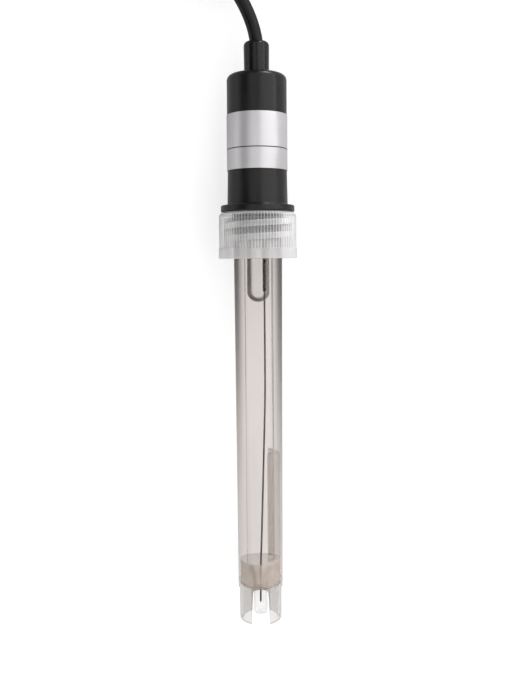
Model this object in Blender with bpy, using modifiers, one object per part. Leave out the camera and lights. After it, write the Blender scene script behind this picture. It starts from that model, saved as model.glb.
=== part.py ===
"""A combination pH electrode with its cable and bayonet plug, lying on a bench.

The electrode is modelled upright about its own axis, with the underside of the cap's flange at
height zero and the cable side up, and its empty then lays it along +Y, tip towards -Y.
"""

import math

import bpy
import numpy as np
from mathutils import Matrix, Vector

MM = 0.001

# Sides of the turned pieces. Pieces that fit in one another have the same number.
ROUND_SIDES = 40
PLUG_SIDES = 32
SLIM_SIDES = 24
WIRE_SIDES = 12
MERGE_DISTANCE = 0.001 * MM

# Clearances.
SLIDING_GAP = 0.30 * MM
FIT_GAP = 0.10 * MM
SEAT_GAP = 0.05 * MM
CORD_GAP = 0.30 * MM

# Cap, with its flange, a socket for the body tube and a cavity for the joints.
CAP_RADIUS = 7.27 * MM
CAP_HEIGHT = 32.75 * MM
CAP_SHOULDER = 1.40 * MM
CAP_SOCKET_DEPTH = 15.0 * MM
CAP_CAVITY_RADIUS = 5.2 * MM
CAP_ROOF = 2.4 * MM
FLANGE_RADIUS = 9.06 * MM
FLANGE_HEIGHT = 1.55 * MM
FLANGE_EDGE = 0.35 * MM

# Foil label round the cap, measured up from the flange's underside.
LABEL_BOTTOM = 9.9 * MM
LABEL_TOP = 23.15 * MM
LABEL_FOIL = 0.08 * MM

# Strain relief that the cable comes out of.
RELIEF_LENGTH = 7.82 * MM
RELIEF_TOP_RADIUS = 3.10 * MM
RELIEF_ROOT_RADIUS = 3.0 * MM
RELIEF_ROUNDING = 1.0 * MM
RELIEF_NECK_RADIUS = 2.4 * MM
RELIEF_FLANGE_RADIUS = 4.2 * MM
RELIEF_FLANGE_HEIGHT = 1.2 * MM

# Clear body tube, drafted towards the tip, with the slotted guard moulded on its end.
TUBE_RADIUS = 6.0 * MM
TUBE_END_RADIUS = 5.66 * MM
TUBE_LENGTH = 95.0 * MM
TUBE_BORE_RADIUS = 4.70 * MM
SEAL_BORE_RADIUS = 5.35 * MM
SEAL_DEPTH = 6.9 * MM
GUARD_RADIUS = 5.36 * MM
GUARD_BORE_RADIUS = 4.40 * MM
GUARD_LENGTH = 8.7 * MM
GUARD_STEP = 0.15 * MM
SLOT_TOP_WIDTH = 3.75 * MM
SLOT_TIP_WIDTH = 4.65 * MM
SLOT_ABOVE_STEP = 0.85 * MM

# Glass stem and bulb, the solution inside them and the plugs that hold them. Places near the
# tip are heights above or below the end of the tube, and places in the cap are below its top.
STEM_RADIUS = 3.10 * MM
STEM_WALL = 0.50 * MM
STEM_BELOW_CAP = 13.75 * MM
STEM_TAPER_RISE = 5.5 * MM
STEM_TAPER_HEIGHT = 3.5 * MM
NECK_RADIUS = 1.72 * MM
NECK_WALL = 0.35 * MM
NECK_REACH = 0.3 * MM
BULB_RECESS = 1.1 * MM
BULB_WALL = 0.22 * MM
BULB_ROUNDING = 0.85 * MM
SOLUTION_LEVEL = 22.1 * MM
SOLUTION_RECESS = 0.7 * MM
PLUG_RISE = 7.1 * MM
PLUG_RECESS = 0.3 * MM

# Electrodes and leads inside.
WIRE_RADIUS = 0.21 * MM
WIRE_TOP_OFFSET = 1.6 * MM
WIRE_BELOW_CAP = 11.75 * MM
WIRE_BEND = 45.0 * MM
WIRE_SLANT_RISE = 4.0 * MM
WIRE_RISE = 1.1 * MM
CHLORIDE_RADIUS = 0.24 * MM
CHLORIDE_CLEARANCE = 2.9 * MM
SLEEVE_RADIUS = 0.42 * MM
SLEEVE_BELOW_WIRE = 1.0 * MM
REFERENCE_OFFSET = 3.35 * MM
REFERENCE_FRONT = 2.0 * MM
REFERENCE_ABOVE_WICK = 1.2 * MM
WICK_HEIGHT = 27.7 * MM
WICK_SLANT = 0.5 * MM
WICK_INNER_EDGE = 2.10 * MM
WICK_THICKNESS = 1.15 * MM

# Stripped cable and soldered joints in the cap.
JACKET_BELOW_RELIEF = 2.0 * MM
CORE_WIRE_RADIUS = 0.45 * MM
CORE_JOINT_RADIUS = 0.65 * MM
CORE_JOINT_LENGTH = 3.4 * MM
BRAID_RADIUS = 0.32 * MM
BRAID_JOINT_RADIUS = 0.5 * MM
BRAID_JOINT_LENGTH = 2.6 * MM

# Storage bottle's screw cap and the ring that seals it to the body tube.
BOTTLE_CAP_TOP_GAP = 0.15 * MM
BOTTLE_CAP_HEIGHT = 11.25 * MM
BOTTLE_CAP_RIB_RADIUS = 9.55 * MM
BOTTLE_CAP_BAND_RADIUS = 9.70 * MM
BOTTLE_CAP_BAND = 2.45 * MM
BOTTLE_CAP_CHAMFER = 0.75 * MM
BOTTLE_CAP_ROOF = 1.4 * MM
BOTTLE_CAP_BORE_RADIUS = 8.35 * MM
RIB_COUNT = 80
RIB_GROOVE_DEPTH = 0.22 * MM
RING_SECTION = 1.80 * MM
RING_SIDES = 8

# Cable, and the hank that the spare length is folded into.
CORD_RADIUS = 1.60 * MM
CORD_SIDES_SETTING = 2
HANK_START = 16.0 * MM
HANK_LENGTH = 60.0 * MM
HANK_HALF_WIDTH = 14.45 * MM
HANK_HEIGHT = 14.0 * MM
HANK_DRAWN_IN = 4.0 * MM
HANK_SIDEWAYS = -4.15 * MM
HANK_LINE_GAP = 3.3 * MM
HANK_ENTRY_HEIGHT = 12.8 * MM
HANK_ENTRY_ANGLE = math.radians(27.5)
HANK_EXIT_HEIGHT = 10.0 * MM
HANK_END_POINTS = 12
HANK_SIDE_POINTS = 15
TIE_WIDTH = 4.0 * MM
TIE_THICKNESS = 0.5 * MM
TIE_GAP = 0.35 * MM
TAIL_LENGTH = 14.0 * MM
TAIL_START_EASE = 1.4
TAIL_END_EASE = 1.1
TAIL_RISE = 0.06
BRIDGE_POINTS = 20

# How the cable bends as it leaves the strain relief: its lean, and its curl and rise per metre.
LEAD_LENGTH = 9.8 * MM
LEAD_POINTS = 8
LEAD_LEAN = 0.13
LEAD_CURL = 24.0
LEAD_RISE = 8.0

# Bayonet plug, measured forwards from the rear of its boot.
BOOT_LENGTH = 14.5 * MM
BOOT_REAR_RADIUS = 2.65 * MM
BOOT_FRONT_RADIUS = 4.1 * MM
BOOT_RIB_COUNT = 5
BOOT_RIB_DEPTH = 0.28 * MM
FERRULE_RADIUS = 2.9 * MM
FERRULE_REAR = 8.8 * MM
PLUG_STEM_RADIUS = 2.05 * MM
PLUG_HUB_RADIUS = 5.9 * MM
PLUG_HUB_REAR = BOOT_LENGTH + SEAT_GAP
PLUG_HUB_FRONT = 21.0 * MM
PLUG_NECK_RADIUS = 4.25 * MM
PLUG_SHOULDER_RADIUS = 4.85 * MM
PLUG_SHOULDER_LENGTH = 0.9 * MM
PLUG_NOSE_RADIUS = 4.05 * MM
PLUG_NOSE_WALL = 0.55 * MM
PLUG_NOSE_END = 33.0 * MM
PLUG_WELL_RADIUS = 2.3 * MM
PLUG_WELL_WALL = 0.5 * MM
PLUG_HUB_EDGE = 1.2 * MM
INSULATOR_RADIUS = 2.1 * MM
INSULATOR_END = 28.8 * MM
PIN_RADIUS = 0.68 * MM
PIN_END = 31.7 * MM
GASKET_SECTION = 0.7 * MM
SLEEVE_FLANGE = 1.0 * MM
THRUST_WASHER = 0.4 * MM
SPRING_WASHER = 0.5 * MM
PLUG_TRAVEL = 0.8 * MM
PLUG_SLEEVE_RADIUS = 7.2 * MM
PLUG_SLEEVE_BORE = 4.95 * MM
PLUG_SLEEVE_SKIRT = 5.0 * MM
PLUG_SLEEVE_SKIRT_BORE = 6.05 * MM
PLUG_SLEEVE_LENGTH = 17.6 * MM
PLUG_SLEEVE_EDGE = 0.4 * MM
PLUG_SLEEVE_GRIP = 6.4 * MM
PLUG_SLEEVE_LIP = 2.4 * MM
PLUG_WAIST_RADIUS = 6.75 * MM
SLOT_RADIUS = 1.05 * MM
SLOT_TURN = math.radians(95)
SLOT_RISE = 6.6 * MM
SLOT_POINTS = 11

# Depths below the flange and heights above it that follow from the sizes above.
TOP_HEIGHT = CAP_HEIGHT + RELIEF_LENGTH
TIP_DEPTH = TUBE_LENGTH + GUARD_LENGTH
STEM_TOP = CAP_HEIGHT - STEM_BELOW_CAP
STEM_TAPER_START = TUBE_LENGTH - STEM_TAPER_RISE
STEM_TAPER_END = STEM_TAPER_START + STEM_TAPER_HEIGHT
NECK_END = TUBE_LENGTH + NECK_REACH
BULB_END = TIP_DEPTH - BULB_RECESS
SOLUTION_END = BULB_END - SOLUTION_RECESS
PLUG_TOP = TUBE_LENGTH - PLUG_RISE
PLUG_BOTTOM = TUBE_LENGTH - PLUG_RECESS
WICK_TOP = PLUG_TOP - WICK_HEIGHT
WIRE_TOP = CAP_HEIGHT - WIRE_BELOW_CAP
WIRE_END = TUBE_LENGTH - WIRE_RISE
WIRE_CENTRED = TUBE_LENGTH - WIRE_SLANT_RISE
CHLORIDE_END = BULB_END - CHLORIDE_CLEARANCE
REFERENCE_END = WICK_TOP - REFERENCE_ABOVE_WICK

# Where the electrode lies: centred along Y, at rest on the screw cap's lowest side.
FLANGE_Y = (TIP_DEPTH - TOP_HEIGHT) / 2
AXIS_HEIGHT = BOTTLE_CAP_BAND_RADIUS * math.cos(math.pi / ROUND_SIDES)
PLUG_AXIS_HEIGHT = PLUG_SLEEVE_RADIUS * math.cos(math.pi / PLUG_SIDES)
EXIT = Vector((0, FLANGE_Y + TOP_HEIGHT, AXIS_HEIGHT))
HANK_NEAR_Y = EXIT.y + HANK_START
HANK_FAR_Y = HANK_NEAR_Y + HANK_LENGTH
PLUG_REAR_Y = HANK_FAR_Y + TAIL_LENGTH

def clear_scene():
    """Removes the objects that the scene starts with."""
    for obj in list(bpy.data.objects):
        bpy.data.objects.remove(obj, do_unlink=True)


def collection(name):
    made = bpy.data.collections.new(name)
    bpy.context.scene.collection.children.link(made)
    return made


def finish(name, colour, roughness, metallic=0.0, clear=0.0):
    """A Principled material."""
    made = bpy.data.materials.new(name)
    made.use_nodes = True
    shader = made.node_tree.nodes["Principled BSDF"]
    shader.inputs["Base Color"].default_value = (*colour, 1)
    shader.inputs["Roughness"].default_value = roughness
    shader.inputs["Metallic"].default_value = metallic
    shader.inputs["Transmission Weight"].default_value = clear
    return made


def place(obj, group, parent, material):
    """Puts an object in its collection, on its parent and in its finish."""
    group.objects.link(obj)
    obj.parent = parent
    if material:
        obj.data.materials.append(material)
    return obj


def smooth(obj):
    """Shades round faces smooth and keeps the edges between flat ones sharp."""
    obj.data.shade_smooth()
    obj.data.set_sharp_from_angle(angle=math.radians(35))


def arc(centre, radius, start, end, steps):
    """Points (radius, height) on an arc of a profile, with its angles in degrees from +X."""
    angles = np.radians(np.linspace(start, end, steps + 1))
    return [(centre[0] + radius * math.cos(a), centre[1] + radius * math.sin(a)) for a in angles]


def turned(name, profile, group, parent, material, sides=ROUND_SIDES, closed=True):
    """A profile of (radius, height) points, run down its outer side, turned about the Z axis.

    The profile stands half a side off +X, so that a flat side faces each of the four axes.
    """
    turn = math.pi / sides
    points = [(r * math.cos(turn), r * math.sin(turn), z) for r, z in profile]
    count = len(points)
    edges = [(i, i + 1) for i in range(count - 1)] + ([(count - 1, 0)] if closed else [])
    mesh = bpy.data.meshes.new(name)
    mesh.from_pydata(points, edges, [])
    obj = place(bpy.data.objects.new(name, mesh), group, parent, material)
    screw = obj.modifiers.new("Turn", "SCREW")
    screw.axis = "Z"
    screw.angle = math.tau
    screw.steps = sides
    screw.render_steps = sides
    screw.use_merge_vertices = True
    screw.merge_threshold = MERGE_DISTANCE
    screw.use_smooth_shade = True
    return obj


def rod(name, radius, top, bottom, group, parent, material, sides=SLIM_SIDES):
    """A plain solid cylinder about the Z axis."""
    profile = [(0, top), (radius, top), (radius, bottom), (0, bottom)]
    return turned(name, profile, group, parent, material, sides, closed=False)


def tube(name, radius, bore, top, bottom, group, parent, material, sides=SLIM_SIDES):
    """A plain tube about the Z axis."""
    profile = [(radius, top), (radius, bottom), (bore, bottom), (bore, top)]
    return turned(name, profile, group, parent, material, sides)


def wire(name, points, radius, group, parent, material, resolution=CORD_SIDES_SETTING):
    """A round wire or cable along a line of points."""
    curve = bpy.data.curves.new(name, "CURVE")
    curve.dimensions = "3D"
    curve.bevel_depth = radius
    curve.bevel_resolution = resolution
    curve.use_fill_caps = True
    spline = curve.splines.new("POLY")
    spline.points.add(len(points) - 1)
    spline.points.foreach_set("co", [v for p in points for v in (*p, 1)])
    return place(bpy.data.objects.new(name, curve), group, parent, material)


def meshed(obj, group):
    """The curve object made a closed mesh object, so that it can cut or be cut."""
    bpy.context.view_layer.update()
    graph = bpy.context.evaluated_depsgraph_get()
    mesh = bpy.data.meshes.new_from_object(obj.evaluated_get(graph))
    name, parent, place_now = obj.name, obj.parent, obj.matrix_world.copy()
    bpy.data.objects.remove(obj, do_unlink=True)
    made = bpy.data.objects.new(name, mesh)
    group.objects.link(made)
    made.parent = parent
    made.matrix_world = place_now
    weld = made.modifiers.new("Weld", "WELD")
    weld.merge_threshold = MERGE_DISTANCE
    return made


def as_cutter(obj):
    obj.hide_render = True
    obj.display_type = "WIRE"
    return obj


def boolean(obj, cutter, operation="DIFFERENCE"):
    """Cuts an object with a helper object, or keeps only what both share."""
    modifier = obj.modifiers.new(operation.title(), "BOOLEAN")
    modifier.operation = operation
    modifier.solver = "EXACT"
    modifier.object = as_cutter(cutter)


def block(name, low, high, group, parent):
    """A box between two corners, for cutting."""
    low, high = Vector(low), Vector(high)
    bpy.ops.mesh.primitive_cube_add(size=1)
    obj = bpy.context.object
    for owner in obj.users_collection:
        owner.objects.unlink(obj)
    obj.name = name
    middle, sides = (low + high) / 2, high - low
    obj.data.transform(Matrix.Translation(middle) @ Matrix.Diagonal((*sides, 1)))
    group.objects.link(obj)
    obj.parent = parent
    return obj


def flat_shape(name, outlines, thickness):
    """A curve object that fills flat closed outlines, holes too, and is as thick as given."""
    curve = bpy.data.curves.new(name, "CURVE")
    curve.dimensions = "2D"
    curve.fill_mode = "BOTH"
    curve.extrude = thickness / 2
    for outline in outlines:
        spline = curve.splines.new("POLY")
        spline.points.add(len(outline) - 1)
        spline.points.foreach_set("co", [v for x, y in outline for v in (x, y, 0, 1)])
        spline.use_cyclic_u = True
    return bpy.data.objects.new(name, curve)


def prism(name, outlines, bottom, top, group, parent):
    """Flat closed outlines of (x, y) points, extruded between two heights, as a closed mesh."""
    obj = flat_shape(name, outlines, top - bottom)
    group.objects.link(obj)
    obj.location.z = (top + bottom) / 2
    obj = meshed(obj, group)
    obj.data.transform(obj.matrix_world)
    obj.matrix_world = Matrix.Identity(4)
    obj.parent = parent
    return obj


def upright_prism(name, outline, half_depth, group, parent):
    """An outline of (x, z) points, extruded to both sides along Y."""
    obj = prism(name, [outline], -half_depth, half_depth, group, parent)
    obj.data.transform(Matrix.Rotation(math.radians(90), 4, "X"))
    return obj


def cap_shell(group, parent, material):
    """The cap: a hollow turned shape with a flange at its foot and a rounded shoulder."""
    socket = TUBE_RADIUS + FIT_GAP
    hole = RELIEF_NECK_RADIUS + FIT_GAP
    roof = CAP_HEIGHT - CAP_ROOF
    shoulder = (CAP_RADIUS - CAP_SHOULDER, CAP_HEIGHT - CAP_SHOULDER)
    edge = (FLANGE_RADIUS - FLANGE_EDGE, FLANGE_HEIGHT - FLANGE_EDGE)
    profile = [
        (hole, CAP_HEIGHT),
        *arc(shoulder, CAP_SHOULDER, 90, 0, 3),
        (CAP_RADIUS, FLANGE_HEIGHT + FLANGE_EDGE),
        (CAP_RADIUS + FLANGE_EDGE, FLANGE_HEIGHT),
        *arc(edge, FLANGE_EDGE, 90, 0, 1),
        (FLANGE_RADIUS, 0),
        (socket, 0),
        (socket, CAP_SOCKET_DEPTH),
        (CAP_CAVITY_RADIUS, CAP_SOCKET_DEPTH),
        (CAP_CAVITY_RADIUS, roof),
        (hole, roof),
    ]
    return turned("cap_shell", profile, group, parent, material)


def label_band(group, parent, material):
    """The foil label, wrapped once round the cap."""
    inner = CAP_RADIUS + SEAT_GAP
    outer = inner + LABEL_FOIL
    return tube("label_band", outer, inner, LABEL_TOP, LABEL_BOTTOM, group, parent, material, ROUND_SIDES)


def strain_relief(group, parent, material):
    """The rubber nipple: a rounded stub above the cap, a neck through its roof and a flange inside."""
    bore = CORD_RADIUS + FIT_GAP
    top = CAP_HEIGHT + RELIEF_LENGTH
    roof = CAP_HEIGHT - CAP_ROOF
    corner = (RELIEF_TOP_RADIUS - RELIEF_ROUNDING, top - RELIEF_ROUNDING)
    profile = [
        (bore, top),
        *arc(corner, RELIEF_ROUNDING, 90, 0, 3),
        (RELIEF_ROOT_RADIUS, CAP_HEIGHT + SEAT_GAP),
        (RELIEF_NECK_RADIUS, CAP_HEIGHT + SEAT_GAP),
        (RELIEF_NECK_RADIUS, roof - SEAT_GAP),
        (RELIEF_FLANGE_RADIUS, roof - SEAT_GAP),
        (RELIEF_FLANGE_RADIUS, roof - SEAT_GAP - RELIEF_FLANGE_HEIGHT),
        (bore, roof - SEAT_GAP - RELIEF_FLANGE_HEIGHT),
    ]
    return turned("strain_relief", profile, group, parent, material, SLIM_SIDES)


def guard_slot(group, parent):
    """The cutter for the guard's front and back slots: tapered sides and an arched top."""
    arch = SLOT_TOP_WIDTH / 2
    spring = -TUBE_LENGTH + SLOT_ABOVE_STEP - arch * 0.45
    tip = -TIP_DEPTH - GUARD_LENGTH
    half_tip = SLOT_TIP_WIDTH / 2
    outline = [(half_tip, tip), (half_tip, -TIP_DEPTH), (arch, spring)]
    for angle in np.radians(np.linspace(0, 180, 9))[1:-1]:
        outline.append((arch * math.cos(angle), spring + 0.45 * arch * math.sin(angle)))
    outline += [(-arch, spring), (-half_tip, -TIP_DEPTH), (-half_tip, tip)]
    return upright_prism("guard_slot_cutter", outline, 2 * TUBE_RADIUS, group, parent)


def body_tube(group, cutters, parent, material):
    """The clear body: a drafted tube whose end carries the two prongs of the guard."""
    top = CAP_SOCKET_DEPTH - SLIDING_GAP
    profile = [
        (TUBE_RADIUS, top),
        (TUBE_RADIUS, 0),
        (TUBE_END_RADIUS, -TUBE_LENGTH),
        (GUARD_RADIUS, -TUBE_LENGTH - GUARD_STEP),
        (GUARD_RADIUS, -TIP_DEPTH),
        (GUARD_BORE_RADIUS, -TIP_DEPTH),
        (GUARD_BORE_RADIUS, -TUBE_LENGTH - GUARD_STEP),
        (TUBE_BORE_RADIUS, -TUBE_LENGTH),
        (TUBE_BORE_RADIUS, -SEAL_DEPTH - 2 * SLIDING_GAP),
        (SEAL_BORE_RADIUS, -SEAL_DEPTH - SLIDING_GAP),
        (SEAL_BORE_RADIUS, top),
    ]
    obj = turned("body_tube", profile, group, parent, material)
    boolean(obj, guard_slot(cutters, parent))
    return obj


def glass_stem(group, parent, material):
    """The inner glass tube, drawn in to the narrow neck that the bulb is blown on."""
    bore = STEM_RADIUS - STEM_WALL
    neck_bore = NECK_RADIUS - NECK_WALL
    profile = [
        (STEM_RADIUS, STEM_TOP),
        (STEM_RADIUS, -STEM_TAPER_START),
        (NECK_RADIUS, -STEM_TAPER_END),
        (NECK_RADIUS, -NECK_END),
        (neck_bore, -NECK_END),
        (neck_bore, -STEM_TAPER_END),
        (bore, -STEM_TAPER_START),
        (bore, STEM_TOP),
    ]
    return turned("glass_stem", profile, group, parent, material, SLIM_SIDES)


def glass_bulb(group, parent, material):
    """The thin sensing membrane, a round-ended cup fused to the neck."""
    outer = (NECK_RADIUS - BULB_ROUNDING, -BULB_END + BULB_ROUNDING)
    inner_rounding = BULB_ROUNDING - BULB_WALL
    top = -NECK_END - SEAT_GAP
    profile = [
        (NECK_RADIUS, top),
        *arc(outer, BULB_ROUNDING, 0, -90, 4),
        (0, -BULB_END),
        (0, -BULB_END + BULB_WALL),
        *arc(outer, inner_rounding, -90, 0, 4),
        (NECK_RADIUS - BULB_WALL, top),
    ]
    return turned("glass_bulb", profile, group, parent, material, SLIM_SIDES)


def sensing_route(top, bottom):
    """The sensing wire's line: beside the stem's axis at the top, slanting in to it by the tip."""
    side = WIRE_TOP_OFFSET
    return [(side, 0, -top), (side, 0, -WIRE_BEND), (0, 0, -WIRE_CENTRED), (0, 0, -bottom)]


def sensing_wire(group, parent, material):
    return wire("sensing_wire", sensing_route(-WIRE_TOP, WIRE_END), WIRE_RADIUS, group, parent, material)


def chloride_tip(group, parent, material):
    """The wire's chlorided black end, inside the bulb."""
    points = [(0, 0, -WIRE_END - SLIDING_GAP), (0, 0, -CHLORIDE_END)]
    return wire("chloride_tip", points, CHLORIDE_RADIUS, group, parent, material)


def wire_sleeve(group, parent, material):
    """The dark insulating sleeve on the sensing wire, down to the solution's level."""
    bottom = -SOLUTION_LEVEL + STEM_RADIUS - STEM_WALL
    top, bore = WIRE_TOP - SLEEVE_BELOW_WIRE, WIRE_RADIUS + FIT_GAP
    obj = tube("wire_sleeve", SLEEVE_RADIUS, bore, top, bottom, group, parent, material, WIRE_SIDES)
    obj.location.x = WIRE_TOP_OFFSET
    return obj


def inner_solution(group, cutters, parent, material):
    """The buffer solution: its hollow surface below the air in the stem, down into the bulb."""
    bore = STEM_RADIUS - STEM_WALL - FIT_GAP
    neck = NECK_RADIUS - NECK_WALL - FIT_GAP
    level = (0, -SOLUTION_LEVEL + bore)
    profile = [
        *arc(level, bore, -90, 0, 5),
        (bore, -STEM_TAPER_START),
        (neck, -STEM_TAPER_END),
        (neck, -SOLUTION_END + neck / 2),
        (neck / 2, -SOLUTION_END),
        (0, -SOLUTION_END),
    ]
    obj = turned("inner_solution", profile, group, parent, material, SLIM_SIDES, closed=False)
    gap = WIRE_RADIUS + FIT_GAP
    above, below = SOLUTION_LEVEL - STEM_RADIUS, WIRE_END + SLIDING_GAP / 2
    channel = meshed(
        wire("wire_channel_cutter", sensing_route(above, below), gap, cutters, parent, None), cutters
    )
    boolean(obj, channel)
    hole_radius = CHLORIDE_RADIUS + FIT_GAP
    top, bottom = -WIRE_END + SLIDING_GAP, -CHLORIDE_END - FIT_GAP
    hole = rod("chloride_hole_cutter", hole_radius, top, bottom, cutters, parent, None, WIRE_SIDES)
    boolean(obj, hole)
    return obj


def reference_lead_points(gap=0.0):
    """The reference wire's straight line down beside the stem."""
    x, y = REFERENCE_OFFSET, -REFERENCE_FRONT
    return [(x, y, STEM_TOP + gap), (x, y, -REFERENCE_END - gap)]


def reference_wire(group, parent, material):
    return wire("reference_wire", reference_lead_points(), WIRE_RADIUS, group, parent, material)


def lead_channel(name, group, parent):
    """The cutter for the way that the reference wire takes through what surrounds it."""
    points = reference_lead_points(SLIDING_GAP)
    return meshed(wire(name, points, WIRE_RADIUS + FIT_GAP, group, parent, None), group)


def stem_seal(group, cutters, parent, material):
    """The black plug that closes the body tube's top round the stem."""
    top = CAP_SOCKET_DEPTH - 2 * SLIDING_GAP
    outer, inner = SEAL_BORE_RADIUS - FIT_GAP, STEM_RADIUS + FIT_GAP
    obj = tube("stem_seal", outer, inner, top, -SEAL_DEPTH, group, parent, material, ROUND_SIDES)
    boolean(obj, lead_channel("seal_channel_cutter", cutters, parent))
    return obj


def wick_block(name, group, parent, gap):
    """A slant-topped block round the wick's place: what of the annulus lies in it is the wick."""
    top = -WICK_TOP + gap
    edge = WICK_INNER_EDGE - gap
    reach = 2 * TUBE_RADIUS
    outline = [(edge, -PLUG_TOP - gap), (reach, -PLUG_TOP - gap), (reach, top + WICK_SLANT), (edge, top)]
    return upright_prism(name, outline, reach, group, parent)


def reference_wick(group, cutters, parent, material):
    """The brown reference wick beside the stem, standing on the junction plug."""
    inner = STEM_RADIUS + 2 * FIT_GAP
    outer = inner + WICK_THICKNESS
    top, bottom = -WICK_TOP + WICK_SLANT, -PLUG_TOP + 2 * FIT_GAP
    obj = tube("reference_wick", outer, inner, top, bottom, group, parent, material, ROUND_SIDES)
    boolean(obj, wick_block("wick_cutter", cutters, parent, 0), "INTERSECT")
    return obj


def reference_gel(group, cutters, parent, material):
    """The gel round the stem, from the seal to the junction plug, with the wick and the wire in it."""
    outer, inner = TUBE_BORE_RADIUS - FIT_GAP, STEM_RADIUS + FIT_GAP
    top, bottom = -SEAL_DEPTH - 3 * SLIDING_GAP, -PLUG_TOP + FIT_GAP
    obj = tube("reference_gel", outer, inner, top, bottom, group, parent, material)
    boolean(obj, wick_block("wick_room_cutter", cutters, parent, FIT_GAP))
    boolean(obj, lead_channel("gel_channel_cutter", cutters, parent))
    return obj


def junction_plug(group, parent, material):
    """The brown porous plug that closes the body's tip round the stem and its neck."""
    outer = TUBE_BORE_RADIUS - FIT_GAP
    bore, neck = STEM_RADIUS + FIT_GAP, NECK_RADIUS + FIT_GAP
    profile = [
        (outer, -PLUG_TOP),
        (outer, -PLUG_BOTTOM),
        (neck, -PLUG_BOTTOM),
        (neck, -STEM_TAPER_END),
        (bore, -STEM_TAPER_START),
        (bore, -PLUG_TOP),
    ]
    return turned("junction_plug", profile, group, parent, material, ROUND_SIDES)


def jacket_bottom():
    """Where the cable's jacket ends inside the cap."""
    return CAP_HEIGHT - CAP_ROOF - RELIEF_FLANGE_HEIGHT - JACKET_BELOW_RELIEF


def cable_jacket_end(group, parent, material):
    """The cable's jacket in the strain relief and just below it."""
    top = TOP_HEIGHT - SEAT_GAP
    return rod("cable_jacket_end", CORD_RADIUS, top, jacket_bottom(), group, parent, material, WIRE_SIDES)


def core_wire(group, parent, material):
    """The insulated core, from the jacket to the joint on the sensing wire."""
    top, bottom = jacket_bottom() - CORE_WIRE_RADIUS, WIRE_TOP + CORE_JOINT_LENGTH
    middle = (2 * bottom + top) / 3
    points = [(0, 0, top), (WIRE_TOP_OFFSET / 2, 0, middle), (WIRE_TOP_OFFSET, 0, bottom)]
    return wire("core_wire", points, CORE_WIRE_RADIUS, group, parent, material)


def joint(name, radius, bottom, length, place_at, group, parent, material):
    """A soldered joint in its sleeve, standing on a lead's end."""
    top = bottom + length
    obj = rod(name, radius, top - SLIDING_GAP, bottom + SLIDING_GAP, group, parent, material, WIRE_SIDES)
    obj.location = (*place_at, 0)
    return obj


def core_joint(group, parent, material):
    place_at = (WIRE_TOP_OFFSET, 0)
    size = (CORE_JOINT_RADIUS, WIRE_TOP, CORE_JOINT_LENGTH)
    return joint("core_joint", *size, place_at, group, parent, material)


def reference_joint(group, parent, material):
    place_at = (REFERENCE_OFFSET, -REFERENCE_FRONT)
    size = (BRAID_JOINT_RADIUS, STEM_TOP, BRAID_JOINT_LENGTH)
    return joint("reference_joint", *size, place_at, group, parent, material)


def braid_pigtail(group, parent, material):
    """The cable's braid, twisted together and led down beside the core to the reference wire."""
    start = Vector((-CORD_RADIUS / 2, -CORD_RADIUS / 2, jacket_bottom() - 2 * BRAID_RADIUS))
    end = Vector((REFERENCE_OFFSET, -REFERENCE_FRONT, STEM_TOP + BRAID_JOINT_LENGTH))
    points = [start]
    for across, down in ((0.35, 0.25), (0.9, 0.85)):
        height = start.z + (end.z - start.z) * down
        points.append(Vector((start.x + (end.x - start.x) * across, end.y, height)))
    return wire("braid_pigtail", [*points, end], BRAID_RADIUS, group, parent, material)


def rib_grooves(group, parent):
    """The cutter for the grooves between the screw cap's ribs: a ring with a toothed inside."""
    reach = 2 * BOTTLE_CAP_BAND_RADIUS
    root = BOTTLE_CAP_RIB_RADIUS - RIB_GROOVE_DEPTH
    crest = BOTTLE_CAP_RIB_RADIUS + RIB_GROOVE_DEPTH / 3
    turns = np.linspace(0, math.tau, 2 * RIB_COUNT, endpoint=False)
    teeth = [(r * math.cos(a), r * math.sin(a)) for a, r in zip(turns, [root, crest] * RIB_COUNT)]
    outside = [(reach * math.cos(a), reach * math.sin(a)) for a in turns[::8]]
    bottom = -BOTTLE_CAP_TOP_GAP - BOTTLE_CAP_HEIGHT + BOTTLE_CAP_BAND + FIT_GAP
    return prism("rib_groove_cutter", [outside, teeth], bottom, BOTTLE_CAP_CHAMFER, group, parent)


def bottle_cap(group, cutters, parent, material):
    """The storage bottle's screw cap: ribbed side, plain band, and a roof that the tube slides through."""
    top = -BOTTLE_CAP_TOP_GAP
    bottom = top - BOTTLE_CAP_HEIGHT
    band_top = bottom + BOTTLE_CAP_BAND
    hole = TUBE_RADIUS + SLIDING_GAP
    roof = top - BOTTLE_CAP_ROOF
    profile = [
        (BOTTLE_CAP_RIB_RADIUS - BOTTLE_CAP_CHAMFER, top),
        (BOTTLE_CAP_RIB_RADIUS, top - BOTTLE_CAP_CHAMFER),
        (BOTTLE_CAP_RIB_RADIUS, band_top),
        (BOTTLE_CAP_BAND_RADIUS, band_top),
        (BOTTLE_CAP_BAND_RADIUS, bottom),
        (BOTTLE_CAP_BORE_RADIUS, bottom),
        (BOTTLE_CAP_BORE_RADIUS, roof),
        (hole, roof),
        (hole, top),
    ]
    obj = turned("bottle_cap", profile, group, parent, material)
    boolean(obj, rib_grooves(cutters, parent))
    return obj


def sealing_ring(group, parent, material):
    """The soft ring under the screw cap's roof, which grips the body tube."""
    half = RING_SECTION / 2
    top = -BOTTLE_CAP_TOP_GAP - BOTTLE_CAP_ROOF - FIT_GAP
    centre = (TUBE_RADIUS + FIT_GAP + half, top - half)
    profile = arc(centre, half, 90, 90 - 360, RING_SIDES)[:-1]
    return turned("sealing_ring", profile, group, parent, material, SLIM_SIDES)


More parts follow.
